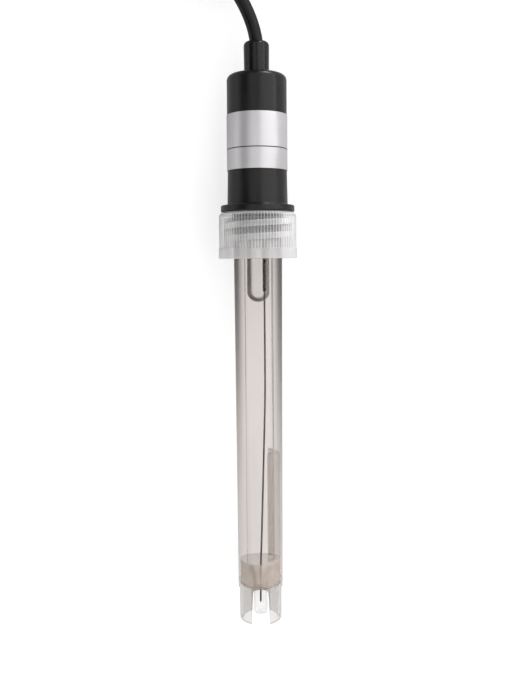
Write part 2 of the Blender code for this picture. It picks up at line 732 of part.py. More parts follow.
def bridge(start, heading, end, end_heading, count):
    """A smooth line of points between two places, with the headings it has there (cubic Hermite)."""
    line = []
    for t in np.linspace(0, 1, count).tolist():
        ends = (2 * t**3 - 3 * t**2 + 1) * start + (3 * t**2 - 2 * t**3) * end
        line.append(ends + (t**3 - 2 * t**2 + t) * heading + (t**3 - t**2) * end_heading)
    return line


def lead_line():
    """The cable's line from the strain relief, bending to -X and rising, on to the hank's top turn."""
    seen = []
    for s in np.linspace(0, LEAD_LENGTH, LEAD_POINTS):
        seen.append(EXIT + Vector((-LEAD_LEAN * s - LEAD_CURL * s * s, s, LEAD_RISE * s * s)))
    slope = Vector((-LEAD_LEAN - 2 * LEAD_CURL * LEAD_LENGTH, 1, 2 * LEAD_RISE * LEAD_LENGTH)).normalized()
    radius = HANK_HALF_WIDTH - CORD_RADIUS - HANK_LINE_GAP
    across, along = math.cos(HANK_ENTRY_ANGLE), math.sin(HANK_ENTRY_ANGLE)
    near = HANK_NEAR_Y + HANK_HALF_WIDTH
    entry = Vector((HANK_SIDEWAYS - radius * across, near - radius * along, HANK_ENTRY_HEIGHT))
    span = (entry - seen[-1]).length
    onward = Vector((-along, across, 0))
    return seen[:-1] + bridge(seen[-1], slope * span, entry, onward * span, BRIDGE_POINTS)


def tail_line():
    """The cable's line from the hank's side, round its far end and down to the plug's boot."""
    side = HANK_SIDEWAYS - HANK_HALF_WIDTH + CORD_RADIUS
    start = Vector((side, HANK_FAR_Y - HANK_HALF_WIDTH, HANK_EXIT_HEIGHT))
    end = Vector((HANK_SIDEWAYS, PLUG_REAR_Y - CORD_GAP, PLUG_AXIS_HEIGHT))
    span = (end - start).length
    away = Vector((0, 1, TAIL_RISE)) * span * TAIL_START_EASE
    return bridge(start, away, end, Vector((0, span * TAIL_END_EASE, 0)), BRIDGE_POINTS)


def cable_lead(group, material):
    """The cable from the strain relief to the hank's near end."""
    line = [p for p in lead_line() if EXIT.y + CORD_GAP < p.y < HANK_NEAR_Y - CORD_GAP]
    return wire("cable_lead", [EXIT + Vector((0, CORD_GAP, 0)), *line], CORD_RADIUS, group, None, material)


def cable_tail(group, material):
    """The cable's last stretch, from where it leaves the hank's outline to the plug's boot."""
    middle = Vector((HANK_SIDEWAYS, HANK_FAR_Y - HANK_HALF_WIDTH))
    clear = HANK_HALF_WIDTH + CORD_RADIUS + CORD_GAP
    line = [p for p in tail_line() if (p.xy - middle).length > clear and p.y > middle.y]
    return wire("cable_tail", line, CORD_RADIUS, group, None, material)


def hank_outline(margin=0.0):
    """The hank seen from above: round ends with a drawn-in waist between them."""
    half = HANK_HALF_WIDTH + margin
    near, far = HANK_NEAR_Y + HANK_HALF_WIDTH, HANK_FAR_Y - HANK_HALF_WIDTH
    side = []
    for share in np.linspace(0, 1, HANK_SIDE_POINTS)[1:-1]:
        drawn = HANK_DRAWN_IN * (1 - math.cos(math.tau * share)) / 2
        side.append((half - drawn, near + (far - near) * share))
    ends = np.radians(np.linspace(0, 180, HANK_END_POINTS + 1))
    far_end = [(half * math.cos(a), far + half * math.sin(a)) for a in ends]
    near_end = [(-half * math.cos(a), near - half * math.sin(a)) for a in ends]
    outline = side + far_end + [(-x, y) for x, y in reversed(side)] + near_end
    return [(x + HANK_SIDEWAYS, y) for x, y in outline]


def cable_hank(group, cutters, material):
    """The outer shape of the folded cable, with a shallow groove below it for the tie."""
    obj = prism("cable_hank", [hank_outline()], 0, HANK_HEIGHT, group, None)
    obj.data.materials.append(material)
    middle = (HANK_NEAR_Y + HANK_FAR_Y) / 2
    half = TIE_WIDTH / 2 + TIE_GAP
    depth = TIE_THICKNESS + TIE_GAP
    reach = HANK_HALF_WIDTH * 2
    low, high = (-reach, middle - half, -depth), (reach, middle + half, depth)
    boolean(obj, block("tie_groove_cutter", low, high, cutters, None))
    return obj


def hank_tie(group, material):
    """The band round the hank's waist, a rounded loop standing on the bench."""
    middle = (HANK_NEAR_Y + HANK_FAR_Y) / 2
    half = HANK_HALF_WIDTH - HANK_DRAWN_IN + 2 * TIE_GAP + TIE_THICKNESS
    low, high = 0, HANK_HEIGHT + TIE_GAP + TIE_THICKNESS
    corner = 2 * TIE_THICKNESS
    corners = [(half, high, 0), (-half, high, 90), (-half, low, 180), (half, low, 270)]
    outer, inner = [], []
    for x, z, start in corners:
        centre = (x - math.copysign(corner, x), z - corner if z > corner else z + corner)
        outer += arc(centre, corner, start, start + 90, 4)
        inner += arc(centre, corner - TIE_THICKNESS, start, start + 90, 4)
    obj = place(flat_shape("hank_tie", [outer, inner], TIE_WIDTH), group, None, material)
    obj.matrix_world = laid_along_y((HANK_SIDEWAYS, middle, 0)) @ Matrix.Rotation(math.pi, 4, "X")
    return obj


def plug_boot(group, parent, material):
    """The rubber boot: a ribbed cone over the ferrule and the cable's end."""
    bore, ferrule = CORD_RADIUS + FIT_GAP, FERRULE_RADIUS + FIT_GAP
    outer = []
    for share in np.linspace(1, 0, 2 * BOOT_RIB_COUNT + 2):
        radius = BOOT_REAR_RADIUS + (BOOT_FRONT_RADIUS - BOOT_REAR_RADIUS) * share
        dip = BOOT_RIB_DEPTH * (len(outer) % 2)
        outer.append((radius - dip, BOOT_LENGTH * share))
    seat = FERRULE_REAR - SEAT_GAP
    inner = [(bore, 0), (bore, seat), (ferrule, seat), (ferrule, BOOT_LENGTH)]
    return turned("plug_boot", outer + inner, group, parent, material, SLIM_SIDES)


def plug_ferrule(group, parent, material):
    """The crimped ring over the plug's stem, inside the boot."""
    bore, front = PLUG_STEM_RADIUS + FIT_GAP, PLUG_HUB_REAR - SEAT_GAP
    return tube("crimp_ferrule", FERRULE_RADIUS, bore, front, FERRULE_REAR, group, parent, material)


def cable_plug_end(group, parent, material):
    """The cable's end in the boot, up to the ferrule."""
    front, rear = FERRULE_REAR - SLIDING_GAP, CORD_GAP
    return rod("cable_plug_end", CORD_RADIUS, front, rear, group, parent, material, WIRE_SIDES)


def shoulder_rear():
    """Where the shoulder that the spring washer bears on begins."""
    return PLUG_HUB_FRONT + SLEEVE_FLANGE + THRUST_WASHER + PLUG_TRAVEL + SPRING_WASHER + 4 * SEAT_GAP


def plug_body(group, parent, material):
    """The plug's turned body: crimp stem, hub, neck, shoulder and the thin nose."""
    edge = PLUG_HUB_EDGE
    stem_bore = PIN_RADIUS + 2 * FIT_GAP
    nose_bore = PLUG_NOSE_RADIUS - PLUG_NOSE_WALL
    well_rear = PLUG_HUB_REAR + PLUG_WELL_WALL
    shoulder = shoulder_rear()
    nose = shoulder + PLUG_SHOULDER_LENGTH
    stem_rear = FERRULE_REAR + SLIDING_GAP
    profile = [
        (PLUG_NOSE_RADIUS, PLUG_NOSE_END),
        (PLUG_NOSE_RADIUS, nose),
        (PLUG_SHOULDER_RADIUS, nose),
        (PLUG_SHOULDER_RADIUS, shoulder),
        (PLUG_NECK_RADIUS, shoulder),
        (PLUG_NECK_RADIUS, PLUG_HUB_FRONT),
        (PLUG_HUB_RADIUS, PLUG_HUB_FRONT),
        (PLUG_HUB_RADIUS, PLUG_HUB_REAR + edge),
        (PLUG_HUB_RADIUS - edge, PLUG_HUB_REAR),
        (PLUG_STEM_RADIUS, PLUG_HUB_REAR),
        (PLUG_STEM_RADIUS, stem_rear),
        (stem_bore, stem_rear),
        (stem_bore, well_rear),
        (PLUG_WELL_RADIUS, well_rear),
        (PLUG_WELL_RADIUS, shoulder),
        (nose_bore, shoulder),
        (nose_bore, PLUG_NOSE_END),
    ]
    return turned("plug_body", profile, group, parent, material, SLIM_SIDES)


def plug_insulator(group, parent, material):
    """The white bush round the pin, from the hub's well out into the nose."""
    rear, bore = PLUG_HUB_REAR + PLUG_WELL_WALL + SLIDING_GAP, PIN_RADIUS + FIT_GAP
    return tube("plug_insulator", INSULATOR_RADIUS, bore, INSULATOR_END, rear, group, parent, material)


def centre_pin(group, parent, material):
    """The plug's pin, with a blunted point."""
    rear, point = FERRULE_REAR + 2 * SLIDING_GAP, PIN_RADIUS
    shoulder = PIN_END - point
    profile = [(0, PIN_END), (point / 2, PIN_END), (PIN_RADIUS, shoulder), (PIN_RADIUS, rear), (0, rear)]
    return turned("centre_pin", profile, group, parent, material, WIRE_SIDES, closed=False)


def plug_gasket(group, parent, material):
    """The gasket in the corner between the nose and the shoulder."""
    bore = PLUG_NOSE_RADIUS + SEAT_GAP
    rear = shoulder_rear() + PLUG_SHOULDER_LENGTH + SEAT_GAP
    front = rear + GASKET_SECTION
    return tube("plug_gasket", bore + GASKET_SECTION, bore, front, rear, group, parent, material)


def spring_washer(group, parent, material):
    """The spring washer behind the shoulder, against which the sleeve is drawn forwards to lock."""
    front = shoulder_rear() - SEAT_GAP
    outer, bore = PLUG_SHOULDER_RADIUS, PLUG_NECK_RADIUS + FIT_GAP
    return tube("spring_washer", outer, bore, front, front - SPRING_WASHER, group, parent, material)


def thrust_washer(group, parent, material):
    """The flat washer in front of the sleeve's inner flange: it slides, and the sleeve turns on it."""
    rear = PLUG_HUB_FRONT + SLEEVE_FLANGE + 2 * SEAT_GAP
    outer, bore = PLUG_SHOULDER_RADIUS, PLUG_NECK_RADIUS + FIT_GAP
    return tube("thrust_washer", outer, bore, rear + THRUST_WASHER, rear, group, parent, material)


def bayonet_slot(name, side, front, group, parent):
    """The cutter for one curved slot, from the sleeve's front edge round to its locking hole."""
    middle = (PLUG_SLEEVE_BORE + PLUG_SLEEVE_RADIUS) / 2
    points = [(middle * math.cos(side), middle * math.sin(side), front + 2 * SLOT_RADIUS)]
    for share in np.linspace(0, 1, SLOT_POINTS):
        turn = side + SLOT_TURN * share
        height = front - SLOT_RADIUS - SLOT_RISE * share**0.8
        points.append((middle * math.cos(turn), middle * math.sin(turn), height))
    return meshed(wire(name, points, SLOT_RADIUS, group, parent, None), group)


def bayonet_sleeve(group, cutters, parent, material):
    """The turning sleeve: two curved slots at the front, an inner flange and a grip at the back."""
    flange = PLUG_HUB_FRONT + SEAT_GAP
    rear = flange - PLUG_SLEEVE_SKIRT
    front = rear + PLUG_SLEEVE_LENGTH
    edge = PLUG_SLEEVE_EDGE
    profile = [
        (PLUG_SLEEVE_RADIUS - edge, front),
        (PLUG_SLEEVE_RADIUS, front - edge),
        (PLUG_SLEEVE_RADIUS, front - PLUG_SLEEVE_LIP),
        (PLUG_WAIST_RADIUS, front - PLUG_SLEEVE_LIP - edge),
        (PLUG_WAIST_RADIUS, rear + PLUG_SLEEVE_GRIP + edge),
        (PLUG_SLEEVE_RADIUS, rear + PLUG_SLEEVE_GRIP),
        (PLUG_SLEEVE_RADIUS, rear + edge),
        (PLUG_SLEEVE_RADIUS - edge, rear),
        (PLUG_SLEEVE_SKIRT_BORE, rear),
        (PLUG_SLEEVE_SKIRT_BORE, flange),
        (PLUG_NECK_RADIUS + FIT_GAP, flange),
        (PLUG_NECK_RADIUS + FIT_GAP, flange + SLEEVE_FLANGE),
        (PLUG_SLEEVE_BORE, flange + SLEEVE_FLANGE),
        (PLUG_SLEEVE_BORE, front),
    ]
    obj = turned("bayonet_sleeve", profile, group, parent, material, PLUG_SIDES)
    for number in (1, 2):
        side = math.pi * number
        boolean(obj, bayonet_slot(f"bayonet_slot_cutter_{number}", side, front, cutters, parent))
    return obj


def laid_along_y(place_at):
    """The turn and place of an axis that lies along Y, so that what is modelled upright lies down."""
    return Matrix.Translation(place_at) @ Matrix.Rotation(math.radians(-90), 4, "X")


def empty(name, group, parent, matrix=None):
    obj = bpy.data.objects.new(name, None)
    group.objects.link(obj)
    obj.parent = parent
    if matrix:
        obj.matrix_world = matrix
    return obj


def finishes():
    """The finishes, by the name of what wears them."""
    return {
        "cap": finish("black_plastic", (0.025, 0.025, 0.026), 0.42),
        "foil": finish("silver_foil", (0.82, 0.82, 0.86), 0.30, 0.9),
        "rubber": finish("black_rubber", (0.03, 0.03, 0.032), 0.5),
        "clear": finish("clear_plastic", (0.86, 0.84, 0.82), 0.08, 0.0, 0.9),
        "glass": finish("glass", (0.9, 0.92, 0.93), 0.03, 0.0, 0.95),
        "solution": finish("solution", (0.9, 0.9, 0.88), 0.02, 0.0, 0.95),
        "gel": finish("gel", (0.88, 0.86, 0.82), 0.1, 0.0, 0.95),
        "silver": finish("silver_wire", (0.55, 0.53, 0.5), 0.35, 1.0),
        "chloride": finish("silver_chloride", (0.03, 0.028, 0.028), 0.6),
        "brown": finish("brown_plug", (0.45, 0.38, 0.32), 0.6),
        "milky": finish("milky_plastic", (0.72, 0.72, 0.73), 0.35, 0.0, 0.4),
        "ring": finish("soft_ring", (0.10, 0.09, 0.09), 0.5),
        "jacket": finish("cable_jacket", (0.03, 0.03, 0.031), 0.45),
        "core": finish("core_insulation", (0.8, 0.8, 0.78), 0.5),
        "braid": finish("copper_braid", (0.7, 0.4, 0.25), 0.4, 1.0),
        "solder": finish("solder", (0.6, 0.6, 0.62), 0.35, 1.0),
        "tie": finish("tie_band", (0.04, 0.04, 0.042), 0.5),
        "nickel": finish("nickel", (0.66, 0.64, 0.6), 0.25, 1.0),
        "spring": finish("spring_steel", (0.5, 0.5, 0.5), 0.3, 1.0),
        "gasket": finish("gasket", (0.35, 0.05, 0.03), 0.6),
        "ptfe": finish("white_insulator", (0.85, 0.85, 0.84), 0.4),
        "gold": finish("gold_pin", (0.83, 0.62, 0.25), 0.25, 1.0),
    }


def build_electrode(group, cutters, finish_of):
    """The electrode's own pieces, on an empty that lays them along +Y."""
    laid = laid_along_y((0, FLANGE_Y, AXIS_HEIGHT))
    axis = empty("electrode_axis", group, None, laid)
    bpy.context.view_layer.update()
    cap_shell(group, axis, finish_of["cap"])
    label_band(group, axis, finish_of["foil"])
    strain_relief(group, axis, finish_of["rubber"])
    cable_jacket_end(group, axis, finish_of["jacket"])
    core_wire(group, axis, finish_of["core"])
    core_joint(group, axis, finish_of["solder"])
    braid_pigtail(group, axis, finish_of["braid"])
    reference_joint(group, axis, finish_of["solder"])
    body_tube(group, cutters, axis, finish_of["clear"])
    glass_stem(group, axis, finish_of["glass"])
    glass_bulb(group, axis, finish_of["glass"])
    inner_solution(group, cutters, axis, finish_of["solution"])
    sensing_wire(group, axis, finish_of["silver"])
    chloride_tip(group, axis, finish_of["chloride"])
    wire_sleeve(group, axis, finish_of["rubber"])
    reference_wire(group, axis, finish_of["silver"])
    stem_seal(group, cutters, axis, finish_of["rubber"])
    reference_gel(group, cutters, axis, finish_of["gel"])
    reference_wick(group, cutters, axis, finish_of["brown"])
    junction_plug(group, axis, finish_of["brown"])
    ring_axis = empty("ring_axis", group, axis)
    sealing_ring(group, ring_axis, finish_of["ring"])
    bottle_cap(group, cutters, empty("bottle_cap_axis", group, ring_axis), finish_of["milky"])


def build_cable(group, cutters, finish_of):
    """The cable's solids and the tie."""
    cable_lead(group, finish_of["jacket"])
    cable_hank(group, cutters, finish_of["jacket"])
    cable_tail(group, finish_of["jacket"])
    hank_tie(group, finish_of["tie"])


def build_plug(group, cutters, finish_of):
    """The bayonet plug, lying on the bench beyond the hank."""
    laid = laid_along_y((HANK_SIDEWAYS, PLUG_REAR_Y, PLUG_AXIS_HEIGHT))
    axis = empty("plug_axis", group, None, laid)
    bpy.context.view_layer.update()
    plug_boot(group, axis, finish_of["rubber"])
    plug_ferrule(group, axis, finish_of["nickel"])
    cable_plug_end(group, axis, finish_of["jacket"])
    plug_body(group, axis, finish_of["nickel"])
    plug_insulator(group, axis, finish_of["ptfe"])
    centre_pin(group, axis, finish_of["gold"])
    plug_gasket(group, axis, finish_of["gasket"])
    spring_washer(group, axis, finish_of["spring"])
    washer_axis = empty("washer_axis", group, axis)
    thrust_washer(group, washer_axis, finish_of["nickel"])
    bayonet_sleeve(group, cutters, empty("sleeve_axis", group, washer_axis), finish_of["nickel"])


def main():
    clear_scene()
    group, cutters = collection("ph_electrode"), collection("cutters")
    finish_of = finishes()
    build_electrode(group, cutters, finish_of)
    build_cable(group, cutters, finish_of)
    build_plug(group, cutters, finish_of)
    for obj in group.objects:
        if obj.type == "MESH" and not obj.modifiers:
            smooth(obj)


main()
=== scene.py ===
"""A pH electrode with a black cap, a clear gel-filled body and the screw cap of its storage bottle,
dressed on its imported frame. The object's lengths are in millimetres and carried to metres by MM;
the floor and the lamps are in metres."""

import math

import bmesh
import bpy
import numpy as np
from mathutils import Euler, Matrix, Vector


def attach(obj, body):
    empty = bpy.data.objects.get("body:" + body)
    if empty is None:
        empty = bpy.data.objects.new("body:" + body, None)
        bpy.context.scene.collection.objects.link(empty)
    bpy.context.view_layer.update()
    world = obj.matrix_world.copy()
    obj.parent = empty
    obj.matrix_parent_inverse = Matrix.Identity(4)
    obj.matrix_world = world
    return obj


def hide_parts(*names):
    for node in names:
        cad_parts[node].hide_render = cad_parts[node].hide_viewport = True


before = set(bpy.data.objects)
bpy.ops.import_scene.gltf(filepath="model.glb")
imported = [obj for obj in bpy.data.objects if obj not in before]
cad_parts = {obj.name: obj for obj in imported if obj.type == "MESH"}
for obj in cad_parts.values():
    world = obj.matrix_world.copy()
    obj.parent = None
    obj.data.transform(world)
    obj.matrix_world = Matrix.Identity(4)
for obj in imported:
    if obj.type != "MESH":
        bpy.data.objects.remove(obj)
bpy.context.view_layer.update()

MM = 0.001

# The electrode lies along Y. Places along it are measured from the cap's flange: the stub's top
# above it and the guard's tip below it. EXIT is where the cable leaves the stub.
FLANGE_Y, AXIS_Z = 31.565, 9.6701
TOP, TIP = 40.57, 103.7
ELECTRODE_PLACE = np.array([0.0, FLANGE_Y, AXIS_Z])
EXIT = np.array([0.0, FLANGE_Y + TOP, AXIS_Z])

# The guard's slots: half their width at the arch and at the tip, the arch's springing and its rise.
ARCH_HALF, TIP_HALF = 1.875, 2.325
SPRING, RISE = 94.994, 0.45 * ARCH_HALF

# Ribs round the screw cap, and where its ribbed side ends.
RIBS, RIBS_END = 80, -8.95

# The cable's thickness and its hank: the middle line, the ends, half the width, the outer and inner
# turns' radii, how far the waist is drawn in, how far each outer turn rises and each inner one
# falls, how many turns lie inside, and the part of a turn that crosses to the outer ones.
CORD = 3.2
HANK_X, HANK_NEAR, HANK_FAR = -4.15, EXIT[1] + 16.0, EXIT[1] + 76.0
HALF = 14.45
OUTER = HALF - CORD / 2
INNER = OUTER - 3.3
DRAWN_IN, PITCH, FALL = 4.0, 3.22, 3.4
INNER_TURNS, CROSSING = 3.25, 0.35

# The rear end of the plug's boot, on the plug's axis.
PLUG_PLACE = np.array([HANK_X, EXIT[1] + 90.0, 7.1653])


# ---------------------------------------------------------------- surfaces

def arc(middle, radius, start, end, count=8):
    """Points on a circle from one angle to the other, in degrees."""
    a = np.radians(np.linspace(start, end, count))
    return np.stack([middle[0] + radius * np.cos(a), middle[1] + radius * np.sin(a)], 1)


def rounded(corners, steps=5, closed=True):
    """An outline through corners (across, along, rounding): a corner with a rounding gives way to
    the circle of that radius that touches both of its sides."""
    corners = np.array([(*c, 0)[:3] for c in corners], float)
    count, line = len(corners), []
    for k, (x, y, radius) in enumerate(corners):
        inner = closed or 0 < k < count - 1
        if not radius or not inner:
            line.append((x, y))
            continue
        corner = np.array([x, y])
        before, after = corners[k - 1][:2] - corner, corners[(k + 1) % count][:2] - corner
        before, after = before / np.linalg.norm(before), after / np.linalg.norm(after)
        half = math.acos(np.clip(before @ after, -1, 1)) / 2
        inward = (before + after) / np.linalg.norm(before + after)
        middle = corner + inward * radius / math.sin(half)
        first = (corner + before * radius / math.tan(half) - middle) / radius
        last = (corner + after * radius / math.tan(half) - middle) / radius
        sweep = math.pi - 2 * half
        t = np.linspace(0, 1, steps)[:, None]
        turn = (np.sin((1 - t) * sweep) * first + np.sin(t * sweep) * last) / math.sin(sweep)
        line.extend(middle + radius * turn)
    return np.array(line)


def woven(name, *grids, sharp=38):
    """One closed mesh from grids of points (points, rows wrap, columns wrap). Each grid point is
    joined to its neighbours in a quad, equal points become one, and faces are turned outwards."""
    points, quads, maps, start = [], [], [], 0
    for grid, rows_wrap, columns_wrap in grids:
        rows, columns = grid.shape[:2]
        i, j = np.mgrid[:rows - (not rows_wrap), :columns - (not columns_wrap)]
        steps = [(0, 0), (0, 1), (1, 1), (1, 0)]
        quads.append(np.stack(
            [((i + di) % rows) * columns + (j + dj) % columns for di, dj in steps], -1
        ).reshape(-1, 4) + start)
        maps.append(np.stack(
            [np.stack([(j + dj) / columns, (i + di) / rows], -1) for di, dj in steps], 2
        ).reshape(-1, 4, 2))
        points.append(grid.reshape(-1, 3))
        start += rows * columns
    points, quads, maps = np.concatenate(points), np.concatenate(quads), np.concatenate(maps)
    keys = np.floor(points / 0.0004 + 0.37).astype(np.int64)
    _, first, same = np.unique(keys, axis=0, return_index=True, return_inverse=True)
    faces = same.reshape(-1)[quads]
    doubled = faces == np.roll(faces, -1, axis=1)
    whole, halved = doubled.sum(1) == 0, doubled.sum(1) == 1
    kept = ~doubled[halved]
    triangles = faces[halved][kept].reshape(-1, 3)
    uvs = np.concatenate([maps[whole].reshape(-1, 2), maps[halved][kept]])
    mesh = bpy.data.meshes.new(name)
    faces = [*faces[whole].tolist(), *triangles.tolist()]
    mesh.from_pydata((points[first] * MM).tolist(), [], faces)
    mesh.uv_layers.new(name="UVMap").data.foreach_set("uv", uvs.astype(np.float32).ravel())
    loose = bmesh.new()
    loose.from_mesh(mesh)
    bmesh.ops.recalc_face_normals(loose, faces=loose.faces)
    loose.to_mesh(mesh)
    loose.free()
    mesh.shade_smooth()
    mesh.set_sharp_from_angle(angle=math.radians(sharp))
    obj = bpy.data.objects.new(name, mesh)
    bpy.context.scene.collection.objects.link(obj)
    return obj


def around(profile, place, sides):
    """The grid of a profile (radius, along) turned round the line along Y through place."""
    profile = np.asarray(profile, float)
    a = np.linspace(0, math.tau, sides, endpoint=False)[None, :]
    radius, along = profile[:, :1], profile[:, 1:]
    return place + np.stack([radius * np.cos(a), along + 0 * a, radius * np.sin(a)], -1)


def turned(name, profile, place=ELECTRODE_PLACE, sides=128, closed=True):
    """A piece turned from an outline of (radius, along), as on a lathe."""
    return woven(name, (around(profile, place, sides), closed, True))


def fluted(name, profile, place, sides, depth, wave, sharp):
    """A piece turned from a closed outline whose radius is cut in by depth, one for each point of
    the outline, where wave (a function of the angle, 0 to 1) is 0, and not at all where it is 1."""
    a = np.linspace(0, math.tau, sides, endpoint=False)
    outward = np.stack([np.cos(a), 0 * a, np.sin(a)], -1)
    cut_in = (depth[:, None] * (1 - wave(a)))[..., None]
    return woven(name, (around(profile, place, sides) - cut_in * outward, True, True), sharp=sharp)


def carried(path, outline):
    """The grid of a flat outline (across, up) carried along a path, upright to it. One outline
    serves all points, or there is one for each."""
    path = np.asarray(path, float)
    ahead = np.gradient(path, axis=0)
    ahead /= np.linalg.norm(ahead, axis=1, keepdims=True)
    across = np.cross(ahead, (0, 0, 1))
    across /= np.linalg.norm(across, axis=1, keepdims=True)
    up = np.cross(across, ahead)
    outline = np.broadcast_to(outline, (len(path), *np.shape(outline)[-2:]))
    return (
        path[:, None] + outline[..., :1] * across[:, None] + outline[..., 1:] * up[:, None]
    )


def capped(grid):
    """A grid with a row at each end drawn in to its middle, which closes the ends."""
    ends = [np.broadcast_to(grid[k].mean(0), grid[k].shape)[None] for k in (0, -1)]
    return np.concatenate([ends[0], grid, ends[1]])


def drawn(name, path, radius, sides=16):
    """A round rod along a path, its radius a number or one for each point."""
    radius = np.broadcast_to(radius, len(path))[:, None, None]
    ring = arc((0, 0), 1, 0, 360, sides + 1)[:-1]
    return woven(name, (capped(carried(path, radius * ring)), False, True), sharp=50)


def upright(points):
    """Electrode points (across, towards the bench, along its axis) in the frame's directions."""
    x, y, z = np.asarray(points, float).T
    return np.stack([x, FLANGE_Y + z, AXIS_Z - y], 1)


def cut(obj, *cutters):
    """obj less the cutters' volume, with the cutters used up."""
    for cutter in cutters:
        step = obj.modifiers.new("cut", "BOOLEAN")
        step.operation, step.solver, step.object = "DIFFERENCE", "EXACT", cutter
    mesh = bpy.data.meshes.new_from_object(obj.evaluated_get(bpy.context.evaluated_depsgraph_get()))
    obj.modifiers.clear()
    obj.data = mesh
    mesh.shade_smooth()
    mesh.set_sharp_from_angle(angle=math.radians(30))
    for cutter in cutters:
        bpy.data.objects.remove(cutter)
    return obj


# ---------------------------------------------------------------- finishes

def shade_group(name, inputs, outputs):
    """An empty shader node group with named inputs (name, kind, value) and outputs (name, kind)."""
    group = bpy.data.node_groups.new(name, "ShaderNodeTree")
    new = group.interface.new_socket
    for label, kind, value in inputs:
        new(label, in_out="INPUT", socket_type="NodeSocket" + kind).default_value = value
    for label, kind in outputs:
        new(label, in_out="OUTPUT", socket_type="NodeSocket" + kind)
    return group, add(group, "NodeGroupInput").outputs, add(group, "NodeGroupOutput").inputs


def add(tree, kind, settings=(), **values):
    """A node with its settings, and its sockets set to values or joined to other nodes' sockets."""
    node = tree.nodes.new(kind if kind.startswith("NodeGroup") else "ShaderNode" + kind)
    for key, value in dict(settings).items():
        setattr(node, key, value)
    for key, value in values.items():
        socket = node.inputs[int(key[1:]) if key[1:].isdigit() else key.replace("_", " ")]
        if isinstance(value, bpy.types.NodeSocket):
            tree.links.new(value, socket)
        else:
            socket.default_value = value
    return node


def maths(tree, operation, first, second=0.0, clamp=False):
    """The result of one operation on two numbers."""
    settings = {"operation": operation, "use_clamp": clamp}
    return add(tree, "Math", settings, _0=first, _1=second).outputs[0]


def ranged(tree, value, low, high, first=0.0, last=1.0, kind="SMOOTHSTEP"):
    """value carried from low..high to first..last, and held beyond them."""
    return add(
        tree, "MapRange", {"interpolation_type": kind}, _0=value, _1=low, _2=high, _3=first, _4=last
    ).outputs[0]


def mixed(tree, factor, first, second):
    """A colour between two colours."""
    return add(tree, "Mix", {"data_type": "RGBA"}, _0=factor, _6=first, _7=second).outputs[2]


def between(tree, factor, first, second):
    """A number between two numbers."""
    return add(tree, "Mix", {"data_type": "FLOAT"}, _0=factor, _2=first, _3=second).outputs[0]


def placed(tree, axis, kind="Object"):
    """One coordinate of the shaded point: in metres on the object's axes, or by another mapping."""
    return add(tree, "SeparateXYZ", _0=add(tree, "TexCoord").outputs[kind]).outputs[axis]


def length_of(tree, vector):
    """A vector's length."""
    return add(tree, "VectorMath", {"operation": "LENGTH"}, _0=vector).outputs["Value"]


def wear_group():
    """Fine grain, soft patches and dust specks on the object's own coordinates: grain gives the
    bump, patches shift colour and roughness, and specks show as small pale dots."""
    group, given, result = shade_group(
        "grain_and_wear",
        [
            ("Colour", "Color", (0.5, 0.5, 0.5, 1)),
            ("Worn Colour", "Color", (0.5, 0.5, 0.5, 1)),
            ("Roughness", "Float", 0.4),
            ("Variation", "Float", 0.05),
            ("Stretch", "Vector", (1, 1, 1)),
            ("Grain", "Float", 4000),
            ("Depth", "Float", 0.2),
            ("Patches", "Float", 120),
            ("Specks", "Float", 0.0),
        ],
        [("Colour", "Color"), ("Roughness", "Float"), ("Normal", "Vector"), ("Patch", "Float")],
    )
    place = add(group, "TexCoord").outputs["Object"]
    drawn_out = add(group, "VectorMath", {"operation": "MULTIPLY"}, _0=place, _1=given["Stretch"])
    grain = add(group, "TexNoise", Vector=drawn_out.outputs[0], Scale=given["Grain"], Detail=3.0,
                Roughness=0.6)
    patch = add(group, "TexNoise", Vector=place, Scale=given["Patches"], Detail=4.0, Roughness=0.55)
    patch = ranged(group, patch.outputs["Fac"], 0.35, 0.68)
    closer = maths(group, "MULTIPLY", given["Patches"], 9.0)
    speck = add(group, "TexVoronoi", Vector=place, Scale=closer)
    speck = maths(group, "LESS_THAN", speck.outputs["Distance"], 0.09)
    speck = maths(group, "MULTIPLY", speck, maths(group, "MULTIPLY", patch, given["Specks"]))
    worn = maths(group, "MULTIPLY", patch, 0.6)
    colour = mixed(group, worn, given["Colour"], given["Worn Colour"])
    colour = mixed(group, speck, colour, (0.6, 0.6, 0.58, 1))
    shift = maths(group, "MULTIPLY", maths(group, "SUBTRACT", patch, 0.5), given["Variation"])
    shift = maths(group, "ADD", shift, maths(group, "MULTIPLY", speck, 0.3))
    group.links.new(colour, result["Colour"])
    group.links.new(maths(group, "ADD", given["Roughness"], shift, clamp=True), result["Roughness"])
    bump = add(group, "Bump", Strength=given["Depth"], Distance=0.0001, Height=grain.outputs["Fac"])
    group.links.new(bump.outputs[0], result["Normal"])
    group.links.new(patch, result["Patch"])
    return group


WEAR = wear_group()


def finish(name, colour, worn, roughness, variation, stretch=(1, 1, 1), grain=4000, depth=0.15,
           patches=120, specks=0.0, **sockets):
    """A material whose colour, roughness and bump come from the wear group, set by its own values.
    It is returned with its tree, its shader and the wear group's outputs."""
    made = bpy.data.materials.new(name)
    made.use_nodes = True
    tree = made.node_tree
    shader = tree.nodes["Principled BSDF"]
    wear = add(tree, "Group", {"node_tree": WEAR})
    values = {
        "Colour": (*colour, 1), "Worn Colour": (*worn, 1), "Roughness": roughness,
        "Variation": variation, "Stretch": stretch, "Grain": grain, "Depth": depth,
        "Patches": patches, "Specks": specks,
    }
    for label, value in values.items():
        wear.inputs[label].default_value = value
    tree.links.new(wear.outputs["Colour"], shader.inputs["Base Color"])
    tree.links.new(wear.outputs["Roughness"], shader.inputs["Roughness"])
    tree.links.new(wear.outputs["Normal"], shader.inputs["Normal"])
    for label, value in sockets.items():
        shader.inputs[label.replace("_", " ")].default_value = value
    return made, tree, shader, wear.outputs


